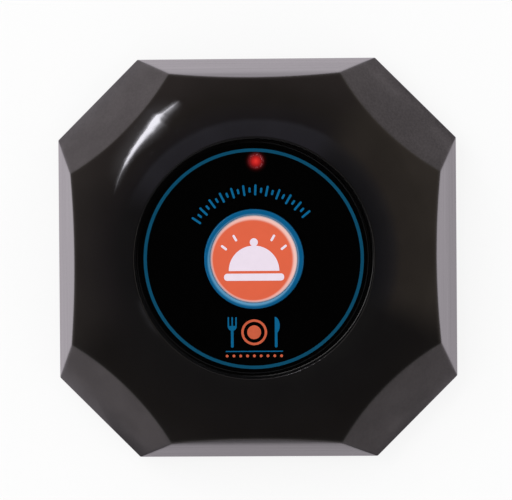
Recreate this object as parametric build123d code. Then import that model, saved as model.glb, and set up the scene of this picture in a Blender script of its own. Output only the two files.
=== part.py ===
from build123d import *
from math import atan2, cos, degrees, radians, sin, sqrt, tan
import os

# Waiter call button: an octagonal table-top transmitter with one large call key.
# Millimetres and degrees. +Z is up, +X is to the user's right, +Y away from the user.
# The origin lies under the middle of the housing, on the table that the feet stand on.

os.makedirs("parts", exist_ok=True)

# ---------------------------------------------------------------- housing
across_flats = 85.0        # octagonal outline, flat to flat
corner_leg = 17.1          # what each corner takes off a side
housing_height = 22.5      # table to the rim of the fascia's recess
band_top = 5.8             # where the upright band ends and the facets start
side_slope = 69.6          # slope of the four side facets
corner_slope = 50.4        # slope of the four corner facets
dome_radius = 88.6         # radius of the shallow dome between the facets
edge_round = 0.45          # rounding of the crests between faces
cover_wall = 2.0           # wall of the top cover
roof_wall = 2.0            # roof under the fascia's recess
base_floor = 2.0           # floor of the base cover
base_step_in = 0.3         # shadow line between cover and base
base_chamfer = 0.7         # lower edge of the base
tongue_height = 2.2        # lip that locates the cover on the base
tongue_wall = 1.4
tongue_clearance = 0.15

# ---------------------------------------------------------------- feet and screws
foot_proud = 0.8           # how far the feet stand out of the base
foot_recess = 0.6
foot_radius = 4.5
foot_clearance = 0.1
foot_chamfer = 0.4
foot_inset = 14.0          # feet's middles from the flats
case_screw_inset = 9.5     # screws from the left and right flats
case_screw_y = 14.0
case_screw_radius = 1.25
case_screw_head = 2.3
case_screw_head_height = 1.4
case_screw_length = 9.0    # under the head
screw_clearance = 0.2      # round a shank that passes through
thread_clearance = 0.02    # round a shank in its pilot hole
counterbore_depth = 1.6
counterbore_clearance = 0.3
boss_wall = 1.75           # round a pilot hole
screw_pad_height = 1.2     # pad on the floor under each cover boss
boss_gap = 0.05

# ---------------------------------------------------------------- seal
seal_inset = 0.5           # from the outline
seal_width = 1.2
seal_groove = 0.4
seal_thickness = 0.6

# ---------------------------------------------------------------- fascia
fascia_radius = 24.5
fascia_thickness = 0.5
fascia_clearance = 0.65    # groove between the fascia and the recess's rim
fascia_below_rim = 0.1
tape_thickness = 0.15
tape_inset = 0.4
rim_round = 0.25           # rounding of the recess's rim

# ---------------------------------------------------------------- call key
key_radius = 10.45
key_clearance = 0.15       # sliding fit in the cover's sleeve
key_proud = 0.5            # above the fascia
key_top_thickness = 1.8
key_skirt_wall = 1.2
key_edge_round = 0.35
key_travel = 0.4
key_flange_lip = 1.45      # beyond the skirt
key_flange_thickness = 0.85
key_flange_gap = 0.15      # below the sleeve's end
plunger_radius = 2.2
plunger_gap = 0.15         # above the switch's stem
key_rib_wall = 0.9
key_rib_depth = 2.6
face_radius = 9.2
face_thickness = 0.6
face_sunk = 0.3            # below the key's rim
face_clearance = 0.05
rim_bevel = 0.25           # inner bevel of the key's rim
sleeve_wall = 1.6
sleeve_depth = 2.15        # below the roof
guide_width = 2.0          # posts that stop the key from turning
guide_spare = 0.2          # posts beyond the pressed key's flange
guide_clearance = 0.2
weld = 0.1                 # how far a rib runs into what carries it
roof_rib_wall = 1.0
roof_rib_depth = 1.5
roof_rib_count = 8
roof_rib_reach = 30.0

# ---------------------------------------------------------------- indicator
indicator_x = 0.4          # the light sits a little right of the middle
indicator_y = 20.6
lens_radius = 1.78
lens_clearance = 0.02
lens_proud = 0.1
lens_flange_radius = 2.5
lens_flange_height = 0.7
lens_bulge = 0.25          # convex top of the lens
led_radius = 1.5
led_flange_radius = 1.9
led_flange_height = 1.0
led_height = 5.3
led_gap = 0.35             # below the lens
lead_size = 0.5
lead_pitch = 2.54
lead_tail = 1.2            # under the board
spacer_radius = 2.1

# ---------------------------------------------------------------- circuit board
electronics_room = 9.5     # between the board and the roof
post_radius = 2.4          # base's posts that carry the board
board_thickness = 1.2
board_width = 52.0
board_back = 27.0          # edge behind the light
board_strip = 2.4          # what is left of the board in front of the battery
board_corner = 5.0
board_screw_x = 22.0
board_screw_back = 21.5
board_screw_front = -12.0
board_screw_radius = 1.0
board_screw_head = 1.9
board_screw_head_height = 1.2
board_screw_length = 5.0
pin_clearance = 0.15       # round leads, legs and pins in the board

# ---------------------------------------------------------------- tact switch
switch_size = 6.0
switch_body_height = 3.3
switch_corner = 0.5
switch_plate_thickness = 0.3
switch_well_radius = 2.4
switch_well_depth = 1.8
switch_height = 5.0        # board to the tip of the stem
stem_radius = 1.75
stem_clearance = 0.1
stem_collar_radius = 2.2
stem_bevel = 0.2
stem_travel = 0.3
snap_spare = 0.2           # what is left of the snap disc's rise when pressed
snap_thickness = 0.1
snap_radius = 2.25
snap_gap = 0.02
leg_width = 0.7
leg_thickness = 0.3
leg_pitch = 4.5
leg_tail = 1.0
leg_drop = 0.8             # where a leg leaves the body, above the board

# ---------------------------------------------------------------- battery and bay
battery_radius = 5.15
battery_length = 28.5      # with its nub
battery_nub = 0.9
nub_radius = 1.6
battery_jacket = 0.15
jacket_fold = 1.4          # how far the jacket folds over the ends
jacket_slack = 0.02
battery_inset = 18.5       # battery's axis from the front flat
battery_over_door = 0.35
bay_side_gap = 0.45        # between the battery and the bay's side walls
bay_end_gap = 0.25         # between a contact and the bay's end wall
bay_wall = 1.2
board_gap = 0.1            # between the bay's wall and the board
contact_thickness = 0.4
contact_width = 8.0
contact_over_board = 2.15
contact_below = 3.6        # below the battery's axis
contact_corner = 1.0
contact_foot = 3.4         # solder foot on the board
contact_foot_width = 5.0
spring_length = 4.5
spring_wire = 0.5
spring_base_radius = 3.5
spring_cone = 18.0
spring_turns = 4.0
hold_rib_wall = 1.2        # ribs over the battery
hold_rib_gap = 0.25
hold_rib_spread = 8.0
hold_rib_length = 10.0

# ---------------------------------------------------------------- battery door
door_thickness = 1.5
door_ledge = 1.6           # overlap round the opening
door_clearance = 0.15
door_lift_gap = 0.1        # between the door and its ledge
door_corner = 1.2
door_frame_wall = 1.4
door_frame_height = 1.2    # above the floor
tab_width = 3.0
tab_spread = 3.4
tab_wall = 1.0
tab_reach = 0.95           # hook beyond the tab
tab_hook_bottom = 3.4      # above the table
tab_hook_height = 0.8
tab_slot_bottom = 2.9
tab_slot_height = 2.1
tab_clearance = 0.25
latch_width = 7.0
latch_length = 6.0
latch_slot = 0.8
latch_bump = 0.1           # how far the bump stands out of the finger
bump_radius = 0.6
nail_notch_radius = 4.5
nail_notch_depth = 1.0
cradle_wall = 1.2
cradle_spread = 8.0
cradle_half_width = 4.5
cradle_height = 2.2
cradle_gap = 0.3

# ---------------------------------------------------------------- small components
chip_length = 4.9
chip_width = 3.9
chip_height = 1.45
chip_standoff = 0.15
chip_dot_radius = 0.35
chip_dot_depth = 0.1
chip_x = 16.0
chip_y = 7.0
chip_leg_pitch = 1.27
chip_leg_width = 0.4
chip_leg_thickness = 0.2
chip_leg_reach = 1.05
can_radius = 4.6
can_flange = 0.4
can_flange_height = 0.5
can_height = 3.3
can_bevel = 0.3
can_x = -11.0
can_y = 15.5
can_pin_size = 0.45
can_pin_circle = 2.54
transistor_length = 2.9
transistor_width = 1.3
transistor_height = 1.0
transistor_leg = 0.55      # how far a leg reaches out of the body
transistor_x = -13.5
transistor_y = 4.5
passive_length = 2.0
passive_width = 1.25
passive_height = 0.5
passive_cap = 0.35         # metal end of a chip part
passive_cap_proud = 0.04
coil_radius = 2.5
coil_wire = 0.6
coil_pitch = 2.5
coil_turns = 5
coil_x = -20.0
coil_y = -6.5              # front end of the coil
coil_gap = 0.1             # over the board
wire_sides = 6             # fine wire is drawn six-sided

# ---------------------------------------------------------------- levels, worked out
floor_bottom = foot_proud
floor_top = floor_bottom + base_floor
cover_bottom = floor_top + seal_thickness - seal_groove
fascia_top = housing_height - fascia_below_rim
recess_floor = fascia_top - fascia_thickness - tape_thickness
roof_bottom = recess_floor - roof_wall
board_top = roof_bottom - electronics_room
board_bottom = board_top - board_thickness
key_top = fascia_top + key_proud
sleeve_bottom = roof_bottom - sleeve_depth
stem_top = board_top + switch_height
door_top = floor_bottom + door_thickness
ledge_bottom = door_top + door_lift_gap
battery_z = door_top + battery_over_door + battery_radius
screw_pad_top = floor_top + screw_pad_height
screw_head_top = floor_bottom + counterbore_depth
lens_bottom = roof_bottom - lens_flange_height
led_bottom = lens_bottom - led_gap - led_height
snap_rise = stem_travel + snap_spare
well_bottom = board_top + switch_body_height - switch_well_depth
stem_collar_height = switch_well_depth - snap_rise - 2 * snap_gap
guide_depth = key_flange_gap + key_flange_thickness + key_travel + guide_spare

# ---------------------------------------------------------------- plan sizes, worked out
key_hole_radius = key_radius + key_clearance
sleeve_radius = key_hole_radius + sleeve_wall
corner_reach = (across_flats - corner_leg) / sqrt(2)
dome_foot_radius = fascia_radius + fascia_clearance
dome_centre = housing_height - sqrt(dome_radius**2 - dome_foot_radius**2)
foot_spread = across_flats / 2 - foot_inset
case_screw_x = across_flats / 2 - case_screw_inset
battery_y = battery_inset - across_flats / 2
bay_length = battery_length + spring_length + 2 * (contact_thickness + bay_end_gap)
bay_width = 2 * (battery_radius + bay_side_gap)
board_front = battery_y - bay_width / 2 - board_strip
battery_end = bay_length / 2 - bay_end_gap - contact_thickness
battery_start = battery_end - battery_length
door_length = bay_length + 2 * door_ledge
door_width = bay_width + 2 * door_ledge
case_screw_places = [(x, y) for x in (-case_screw_x, case_screw_x) for y in (-case_screw_y, case_screw_y)]
foot_places = [(x, y) for x in (-foot_spread, foot_spread) for y in (-foot_spread, foot_spread)]
board_screw_places = [
    (x, y) for x in (-board_screw_x, board_screw_x) for y in (board_screw_front, board_screw_back)
]
leg_places = [(x, y) for x in (-1, 1) for y in (-leg_pitch / 2, leg_pitch / 2)]
lead_places = [(indicator_x + side * lead_pitch / 2, indicator_y) for side in (-1, 1)]
can_pin_places = [
    (can_x + can_pin_circle * cos(radians(turn)), can_y + can_pin_circle * sin(radians(turn)))
    for turn in (45, 135, 270)
]
resistor_places = [(9.5, 15.0), (13.5, 15.0), (17.5, 15.0), (12.0, -8.5)]
capacitor_places = [(-13.5, -4.0), (-9.0, -9.0), (9.5, 19.0), (16.5, -6.0)]


# ================================================================ simple forms
def disc(radius, height, x, y, bottom):
    """Upright cylinder standing on a level."""
    return Pos(x, y, bottom) * extrude(Circle(radius), amount=height)


def block(length, width, height, x, y, bottom):
    """Upright box standing on a level, centred in plan."""
    return Pos(x, y, bottom) * extrude(Rectangle(length, width), amount=height)


def tube(outer, inner, height, x, y, bottom):
    """Upright ring standing on a level."""
    return Pos(x, y, bottom) * extrude(Circle(outer) - Circle(inner), amount=height)


def together(solids):
    """Separate solids that share a node."""
    return Compound([one for piece in solids for one in piece.solids()])


# ================================================================ housing forms
def octagon(inset):
    """Outline of the housing, drawn in by an inset."""
    outline = chamfer(Rectangle(across_flats, across_flats).vertices(), corner_leg)
    if inset == 0:
        return outline
    return offset(outline, amount=-inset, kind=Kind.INTERSECTION)


def octagon_prism(inset, bottom, top):
    """Upright prism on the housing's outline."""
    return Pos(0, 0, bottom) * extrude(octagon(inset), amount=top - bottom)


def facet_pyramid(reach, slope, inset, turn):
    """Square pyramid stump whose four faces are the facets on one set of sides."""
    rise = band_top - floor_bottom
    foot = reach - inset / sin(radians(slope)) + rise / tan(radians(slope))
    square = Pos(0, 0, floor_bottom) * Rot(0, 0, turn) * Rectangle(2 * foot, 2 * foot)
    return extrude(square, amount=housing_height, taper=90 - slope)


def faceted_dome(inset, bottom):
    """Housing form: an octagonal band, eight facets and a shallow dome, all drawn in alike."""
    band = octagon_prism(inset, bottom, housing_height + dome_radius)
    sides = facet_pyramid(across_flats / 2, side_slope, inset, 0)
    corners = facet_pyramid(corner_reach, corner_slope, inset, 45)
    dome = Pos(0, 0, dome_centre) * Sphere(dome_radius - inset)
    return band & sides & corners & dome


def outer_shell():
    """Outside of the top cover with its crests rounded."""
    form = faceted_dome(0, cover_bottom)
    crests = [edge for edge in form.edges() if edge.center().Z > cover_bottom + edge_round]
    return fillet(crests, edge_round)


# ================================================================ housing pieces
def top_cover():
    """Moulded cover: hollow faceted dome with recess, key sleeve, bosses and ribs."""
    cover = outer_shell()
    cavity = faceted_dome(cover_wall, cover_bottom - 1)
    cavity = cavity & block(across_flats, across_flats, roof_bottom, 0, 0, 0)
    cover -= cavity
    inside = faceted_dome(cover_wall / 2, cover_bottom)
    for x, y in case_screw_places:
        boss = disc(case_screw_radius + boss_wall, housing_height, x, y, screw_pad_top + boss_gap)
        cover += boss & inside
    cover += tube(sleeve_radius, key_hole_radius, sleeve_depth + roof_wall / 2, 0, 0, sleeve_bottom)
    for side in (-1, 1):
        post = tube(sleeve_radius, key_hole_radius, guide_depth, 0, 0, sleeve_bottom - guide_depth)
        cover += post & block(sleeve_radius, guide_width, housing_height, side * sleeve_radius, 0, 0)
    rib_length = roof_rib_reach - key_hole_radius
    for number in range(roof_rib_count):
        turn = 360 / roof_rib_count * (number + 0.5)
        middle = key_hole_radius + sleeve_wall / 2 + rib_length / 2
        rib = block(rib_length, roof_rib_wall, roof_rib_depth + roof_wall / 2, middle, 0,
                    roof_bottom - roof_rib_depth)
        cover += (Rot(0, 0, turn) * rib) & inside
    hold_bottom = battery_z + battery_radius + hold_rib_gap
    for side in (-1, 1):
        x = (battery_start + battery_end) / 2 + side * hold_rib_spread
        rib = block(hold_rib_wall, hold_rib_length, housing_height, x, battery_y, hold_bottom)
        cover += rib & inside
    cover -= recess_cutter()
    cover -= disc(key_hole_radius, dome_radius, 0, 0, sleeve_bottom)
    cover -= disc(lens_radius + lens_clearance, dome_radius, indicator_x, indicator_y, roof_bottom - 1)
    for x, y in case_screw_places:
        depth = case_screw_length + screw_head_top - screw_pad_top
        cover -= disc(case_screw_radius + thread_clearance, depth, x, y, screw_pad_top)
    return cover


def recess_cutter():
    """Everything cut for the fascia, with a flared mouth that leaves the dome a soft rim."""
    arc_x = dome_foot_radius + rim_round
    arc_z = dome_centre + sqrt((dome_radius - rim_round)**2 - arc_x**2)
    lean = atan2(arc_z - dome_centre, arc_x)
    mouth = CenterArc((arc_x, arc_z), rim_round, 180, degrees(lean) - 180)
    above = housing_height + dome_radius
    walls = Polyline(
        (dome_radius * cos(lean), dome_centre + dome_radius * sin(lean)),
        (dome_radius * cos(lean), above),
        (0, above),
        (0, recess_floor),
        (dome_foot_radius, recess_floor),
        (dome_foot_radius, arc_z),
    )
    return revolve(Plane.XZ * make_face([walls, mouth]), axis=Axis.Z)


def base_cover():
    """Lower half: floor, locating tongue, board posts, battery bay and screw pads."""
    base = octagon_prism(base_step_in, floor_bottom, floor_top)
    base = chamfer(base.faces().sort_by(Axis.Z)[0].edges(), base_chamfer)
    tongue_inset = cover_wall + tongue_clearance
    tongue = octagon_prism(tongue_inset, floor_top, floor_top + tongue_height)
    tongue -= octagon_prism(tongue_inset + tongue_wall, floor_top, floor_top + tongue_height)
    base += tongue
    groove = octagon_prism(seal_inset, floor_top - seal_groove, floor_top)
    groove -= octagon_prism(seal_inset + seal_width, floor_top - seal_groove, floor_top)
    base -= groove
    for x, y in board_screw_places:
        base += disc(post_radius, board_bottom - floor_top, x, y, floor_top)
    pad_radius = case_screw_head + counterbore_clearance + boss_wall / 2
    for x, y in case_screw_places:
        base += disc(pad_radius, screw_pad_height, x, y, floor_top)
    base += battery_bay()
    base -= door_opening()
    for x, y in case_screw_places:
        head_hole = case_screw_head + counterbore_clearance
        base -= disc(head_hole, counterbore_depth, x, y, floor_bottom)
        base -= disc(case_screw_radius + screw_clearance, housing_height, x, y, floor_bottom)
    for x, y in board_screw_places:
        depth = board_screw_length - board_thickness
        base -= disc(board_screw_radius + thread_clearance, depth, x, y, board_bottom - depth)
    for x, y in foot_places:
        base -= disc(foot_radius + foot_clearance, foot_recess, x, y, floor_bottom)
    return base


def battery_bay():
    """Door frame on the floor and the wall that carries the board round the battery."""
    frame = block(door_length + 2 * door_frame_wall, door_width + 2 * door_frame_wall,
                  door_frame_height, 0, battery_y, floor_top)
    wall = block(bay_length + 2 * bay_wall, bay_width + 2 * bay_wall,
                 board_bottom - board_gap - floor_top, 0, battery_y, floor_top)
    return frame + wall


def door_opening():
    """Everything cut for the door: its seat, the way to the battery, tab slots and nail notch."""
    seat = block(door_length, door_width, ledge_bottom - floor_bottom, 0, battery_y, floor_bottom)
    seat = fillet(seat.edges().filter_by(Axis.Z), door_corner)
    way_in = block(bay_length, bay_width, board_bottom, 0, battery_y, floor_bottom)
    cut = seat + way_in
    slot_length = door_ledge + tab_wall
    for side in (-1, 1):
        slot_x = -bay_length / 2 - door_ledge + slot_length / 2
        cut += block(slot_length, tab_width + 2 * tab_clearance, tab_slot_height, slot_x,
                     battery_y + side * tab_spread, tab_slot_bottom)
    cut += disc(nail_notch_radius, nail_notch_depth, door_length / 2, battery_y, floor_bottom)
    return cut


def case_seal():
    """Flat gasket in the base's groove."""
    bottom = floor_top - seal_groove
    top = bottom + seal_thickness
    return octagon_prism(seal_inset, bottom, top) - octagon_prism(seal_inset + seal_width, bottom, top)


def rubber_feet():
    """Four soft feet with bevelled treads."""
    feet = []
    for x, y in foot_places:
        foot = disc(foot_radius, foot_proud + foot_recess, x, y, 0)
        feet.append(chamfer(foot.edges().sort_by(Axis.Z)[0], foot_chamfer))
    return together(feet)


def screw(radius, length, head_radius, head_height):
    """Pan-head screw that points along -Z with its head's underside at zero."""
    head = Cylinder(head_radius, head_height, align=(Align.CENTER, Align.CENTER, Align.MIN))
    head = chamfer(head.edges().sort_by(Axis.Z)[-1], head_height / 3)
    return head + Cylinder(radius, length, align=(Align.CENTER, Align.CENTER, Align.MAX))


def case_screws():
    """Four screws driven upwards through the base."""
    one = screw(case_screw_radius, case_screw_length, case_screw_head, case_screw_head_height)
    return together([Pos(x, y, screw_head_top) * Rot(180, 0, 0) * one for x, y in case_screw_places])


def board_screws():
    """Four screws driven down through the board."""
    one = screw(board_screw_radius, board_screw_length, board_screw_head, board_screw_head_height)
    return together([Pos(x, y, board_top) * one for x, y in board_screw_places])


# ================================================================ fascia
def fascia_disc():
    """Printed overlay with its key and light openings."""
    sheet = disc(fascia_radius, fascia_thickness, 0, 0, recess_floor + tape_thickness)
    sheet -= disc(key_hole_radius, housing_height, 0, 0, recess_floor)
    sheet -= disc(lens_radius + lens_clearance, housing_height, indicator_x, indicator_y, recess_floor)
    upper = sheet.faces().sort_by(Axis.Z)[-1]
    return chamfer(upper.outer_wire().edges(), fascia_thickness / 3)


def fascia_tape():
    """Double-sided tape under the overlay."""
    tape = disc(fascia_radius - tape_inset, tape_thickness, 0, 0, recess_floor)
    tape -= disc(key_hole_radius + tape_inset, tape_thickness, 0, 0, recess_floor)
    return tape - disc(lens_radius + tape_inset, tape_thickness, indicator_x, indicator_y, recess_floor)


# ================================================================ call key
def key_cap():
    """Key: rimmed cup with a retaining flange, a plunger on the axis and four ribs."""
    skirt_inner = key_radius - key_skirt_wall
    flange_top = sleeve_bottom - key_flange_gap
    flange_bottom = flange_top - key_flange_thickness
    top_bottom = key_top - key_top_thickness
    pocket = face_radius + face_clearance
    pocket_floor = key_top - face_sunk - face_thickness
    plunger_bottom = stem_top + plunger_gap
    outline = Polyline(
        (0, pocket_floor),
        (pocket, pocket_floor),
        (pocket, key_top - face_sunk),
        (pocket + rim_bevel, key_top),
        (key_radius, key_top),
        (key_radius, flange_top),
        (key_radius + key_flange_lip, flange_top),
        (key_radius + key_flange_lip, flange_bottom),
        (skirt_inner, flange_bottom),
        (skirt_inner, top_bottom),
        (plunger_radius, top_bottom),
        (plunger_radius, plunger_bottom),
        (0, plunger_bottom),
        close=True,
    )
    cup = revolve(Plane.XZ * make_face(outline), axis=Axis.Z)
    rim = cup.edges().filter_by(GeomType.CIRCLE).filter_by(
        lambda edge: abs(edge.radius - key_radius) < 1e-3 and abs(edge.center().Z - key_top) < 1e-3
    )
    cup = fillet(rim, key_edge_round)
    rib_length = skirt_inner - plunger_radius + key_skirt_wall / 2
    for turn in (45, 135, 225, 315):
        rib = block(rib_length, key_rib_wall, key_rib_depth, plunger_radius + rib_length / 2 - weld, 0,
                    top_bottom - key_rib_depth)
        cup += Rot(0, 0, turn) * rib
    notch = guide_width + 2 * guide_clearance
    for side in (-1, 1):
        flange_x = side * (key_radius + key_flange_lip)
        cup -= block(2 * key_flange_lip, notch, key_flange_thickness, flange_x, 0, flange_bottom)
    return cup


def key_face():
    """Flat coloured disc set into the key's pocket."""
    face = disc(face_radius, face_thickness, 0, 0, key_top - face_sunk - face_thickness)
    return chamfer(face.edges().sort_by(Axis.Z)[-1], face_thickness / 4)


# ================================================================ indicator
def indicator_lens():
    """Window that carries the light up through the roof, held by its flange."""
    stem_height = fascia_top + lens_proud - lens_bulge - roof_bottom
    lens = disc(lens_flange_radius, lens_flange_height, indicator_x, indicator_y, lens_bottom)
    lens += disc(lens_radius, stem_height, indicator_x, indicator_y, roof_bottom)
    bulge_radius = (lens_radius**2 + lens_bulge**2) / (2 * lens_bulge)
    cap = Pos(indicator_x, indicator_y, fascia_top + lens_proud - bulge_radius) * Sphere(bulge_radius)
    column_bottom = roof_bottom + stem_height - lens_bulge
    column = disc(lens_radius, 2 * lens_bulge, indicator_x, indicator_y, column_bottom)
    return lens + (column & cap)


def status_led():
    """Round-headed light with its collar."""
    straight = led_height - led_flange_height - led_radius
    led = disc(led_flange_radius, led_flange_height, indicator_x, indicator_y, led_bottom)
    led += disc(led_radius, straight, indicator_x, indicator_y, led_bottom + led_flange_height)
    head = Pos(indicator_x, indicator_y, led_bottom + led_flange_height + straight) * Sphere(led_radius)
    column = disc(led_radius, led_radius, indicator_x, indicator_y, led_bottom + led_flange_height + straight)
    return led + (head & column)


def led_leads():
    """Two square leads from the light down through the board."""
    bottom = board_bottom - lead_tail
    return together([block(lead_size, lead_size, led_bottom - bottom, x, y, bottom) for x, y in lead_places])


def led_spacer():
    """Short tube that holds the light off the board."""
    spacer = disc(spacer_radius, led_bottom - board_top, indicator_x, indicator_y, board_top)
    for x, y in lead_places:
        spacer -= pin_hole(lead_size, lead_size, led_bottom - board_top, x, y, board_top)
    return spacer


def pin_hole(length, width, height, x, y, bottom):
    """Square hole that clears a lead, leg or pin all round."""
    return block(length + 2 * pin_clearance, width + 2 * pin_clearance, height, x, y, bottom)


# ================================================================ circuit board
def circuit_board():
    """Board with screw, lead and leg holes and a gap for the battery."""
    depth = board_back - board_front
    middle = (board_back + board_front) / 2
    outline = chamfer(Rectangle(board_width, depth).vertices(), board_corner)
    board = Pos(0, middle, board_bottom) * extrude(outline, amount=board_thickness)
    board -= block(bay_length, bay_width, board_thickness, 0, battery_y, board_bottom)
    for x, y in board_screw_places:
        board -= disc(board_screw_radius + screw_clearance, board_thickness, x, y, board_bottom)
    for x, y in lead_places:
        board -= pin_hole(lead_size, lead_size, board_thickness, x, y, board_bottom)
    for side, y in leg_places:
        x = side * (switch_size + leg_thickness) / 2
        board -= pin_hole(leg_thickness, leg_width, board_thickness, x, y, board_bottom)
    for x, y in can_pin_places:
        board -= pin_hole(can_pin_size, can_pin_size, board_thickness, x, y, board_bottom)
    foot_x = coil_x + coil_radius - coil_wire / 2
    return board - pin_hole(coil_wire, coil_wire, board_thickness, foot_x, coil_y, board_bottom)


# ================================================================ tact switch
def switch_body():
    """Square moulded body with the well that holds the snap disc."""
    body = block(switch_size, switch_size, switch_body_height, 0, 0, board_top)
    body = chamfer(body.edges().filter_by(Axis.Z), switch_corner)
    return body - disc(switch_well_radius, switch_well_depth, 0, 0, well_bottom)


def switch_plate():
    """Metal plate that closes the body round the stem."""
    plate = block(switch_size, switch_size, switch_plate_thickness, 0, 0, board_top + switch_body_height)
    plate = chamfer(plate.edges().filter_by(Axis.Z), switch_corner)
    hole = stem_radius + stem_clearance
    return plate - disc(hole, switch_plate_thickness, 0, 0, board_top + switch_body_height)


def switch_dome():
    """Snap disc that gives the click and lifts the stem again."""
    curve = (snap_radius**2 + snap_rise**2) / (2 * snap_rise)
    centre = well_bottom + snap_rise - curve
    skin = Pos(0, 0, centre) * Sphere(curve) - Pos(0, 0, centre) * Sphere(curve - snap_thickness)
    return skin & disc(snap_radius, switch_well_depth, 0, 0, well_bottom)


def switch_legs():
    """Four legs that leave the body's sides and run down through the board."""
    bottom = board_bottom - leg_tail
    height = board_top + leg_drop - bottom
    reach = (switch_size + leg_thickness) / 2
    legs = [block(leg_thickness, leg_width, height, side * reach, y, bottom) for side, y in leg_places]
    return together(legs)


def switch_actuator():
    """Round stem with the collar that keeps it under the plate."""
    collar_bottom = well_bottom + snap_rise + snap_gap
    stem = disc(stem_collar_radius, stem_collar_height, 0, 0, collar_bottom)
    stem += disc(stem_radius, stem_top - collar_bottom, 0, 0, collar_bottom)
    return chamfer(stem.edges().sort_by(Axis.Z)[-1], stem_bevel)


# ================================================================ small components
def encoder_chip():
    """Moulded body of the code chip with its orientation dot."""
    body = block(chip_width, chip_length, chip_height, chip_x, chip_y, board_top + chip_standoff)
    body = chamfer(body.faces().sort_by(Axis.Z)[-1].edges(), chip_height / 6)
    dot_bottom = board_top + chip_standoff + chip_height - chip_dot_depth
    return body - disc(chip_dot_radius, chip_dot_depth, chip_x - chip_width / 4, chip_y + chip_length / 3,
                       dot_bottom)


def encoder_legs():
    """Eight gull-wing legs."""
    start = chip_width / 2
    knee = start + chip_leg_reach / 2
    toe = start + chip_leg_reach
    shoulder = board_top + chip_standoff + chip_height / 2
    path = [
        (start, shoulder),
        (knee, shoulder),
        (knee, board_top + chip_leg_thickness),
        (toe, board_top + chip_leg_thickness),
        (toe, board_top),
        (knee - chip_leg_thickness, board_top),
        (knee - chip_leg_thickness, shoulder - chip_leg_thickness),
        (start, shoulder - chip_leg_thickness),
    ]
    profile = Plane.XZ * make_face(Polyline(*path, close=True))
    leg = extrude(profile, amount=chip_leg_width / 2, both=True)
    legs = []
    for turn in (0, 180):
        for number in range(4):
            y = (number - 1.5) * chip_leg_pitch
            legs.append(Pos(chip_x, chip_y, 0) * Rot(0, 0, turn) * Pos(0, y, 0) * leg)
    return together(legs)


def resonator_can():
    """Round metal can with its weld flange."""
    can = disc(can_radius, can_height, can_x, can_y, board_top)
    can = chamfer(can.edges().sort_by(Axis.Z)[-1], can_bevel)
    return can + disc(can_radius + can_flange, can_flange_height, can_x, can_y, board_top)


def resonator_pins():
    """Three pins through the board."""
    height = board_thickness + leg_tail
    bottom = board_bottom - leg_tail
    return together([block(can_pin_size, can_pin_size, height, x, y, bottom) for x, y in can_pin_places])


def transmitter_transistor():
    """Small three-legged transistor."""
    body = block(transistor_width, transistor_length, transistor_height, 0, 0, board_top)
    body = chamfer(body.faces().sort_by(Axis.Z)[-1].edges(), transistor_height / 6)
    reach = transistor_width / 2 + transistor_leg
    for side, y in ((-1, transistor_length / 3), (-1, -transistor_length / 3), (1, 0)):
        body += block(reach, chip_leg_width, chip_leg_thickness, side * reach / 2, y, board_top)
    return Pos(transistor_x, transistor_y, 0) * body


def chip_parts(places):
    """Small oblong parts with raised metal ends."""
    parts = []
    for x, y in places:
        middle = passive_length - 2 * passive_cap
        part = block(middle, passive_width - 2 * passive_cap_proud, passive_height, x, y, board_top)
        for side in (-1, 1):
            end_x = x + side * (passive_length - passive_cap) / 2
            part += block(passive_cap, passive_width, passive_height + passive_cap_proud, end_x, y, board_top)
        parts.append(part)
    return together(parts)


def chip_resistors():
    """Resistors."""
    return chip_parts(resistor_places)


def chip_capacitors():
    """Capacitors."""
    return chip_parts(capacitor_places)


def antenna_coil():
    """Wire coil lying along Y, with the foot that is soldered into the board."""
    middle = coil_radius - coil_wire / 2
    length = coil_turns * coil_pitch
    turns = Helix(pitch=coil_pitch, height=length, radius=middle)
    section = Plane(origin=turns @ 0, z_dir=turns % 0) * RegularPolygon(coil_wire / 2, wire_sides)
    coil = sweep(section, path=turns, is_frenet=True)
    centre = board_top + coil_gap + coil_radius
    coil = Pos(coil_x, coil_y, centre) * Rot(-90, 0, 0) * coil
    foot_bottom = board_bottom - lead_tail
    foot = disc(coil_wire / 2, centre - foot_bottom, coil_x + middle, coil_y, foot_bottom)
    return coil + foot


# ================================================================ battery
def lying(radius, length, start):
    """Cylinder along X on the battery's axis."""
    return Pos(start, battery_y, battery_z) * Rot(0, 90, 0) * extrude(Circle(radius), amount=length)


def battery_can():
    """Steel can of the cell with its positive nub."""
    can_length = battery_length - battery_nub - 2 * battery_jacket
    can = lying(battery_radius - battery_jacket - jacket_slack, can_length, battery_start + battery_jacket)
    return can + lying(nub_radius, battery_nub + battery_jacket, battery_end - battery_nub - battery_jacket)


def battery_sleeve():
    """Thin jacket that folds over both ends of the can."""
    length = battery_length - battery_nub
    jacket = lying(battery_radius, length, battery_start)
    hollow = length - 2 * battery_jacket
    jacket -= lying(battery_radius - battery_jacket, hollow, battery_start + battery_jacket)
    return jacket - lying(battery_radius - jacket_fold, battery_length, battery_start)


def contact(side):
    """Battery contact: upright plate with a solder foot on the board."""
    inner = side * battery_end
    x = inner + side * contact_thickness / 2
    bottom = battery_z - contact_below
    height = board_top + contact_over_board - bottom
    plate = block(contact_thickness, contact_width, height, x, battery_y, bottom)
    plate = fillet(plate.edges().filter_by(Axis.X), contact_corner)
    foot_x = inner + side * (contact_foot + contact_thickness) / 2
    return plate + block(contact_foot + contact_thickness, contact_foot_width, contact_thickness, foot_x,
                         battery_y, board_top)


def contact_spring():
    """Conical spring between the negative plate and the battery."""
    wire = spring_wire / 2
    height = spring_length - spring_wire
    path = Helix(pitch=height / spring_turns, height=height, radius=spring_base_radius,
                 cone_angle=-spring_cone)
    section = Plane(origin=path @ 0, z_dir=path % 0) * RegularPolygon(wire, wire_sides)
    spring = sweep(section, path=path, is_frenet=True)
    return Pos(battery_start - spring_length + wire, battery_y, battery_z) * Rot(0, 90, 0) * spring


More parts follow.
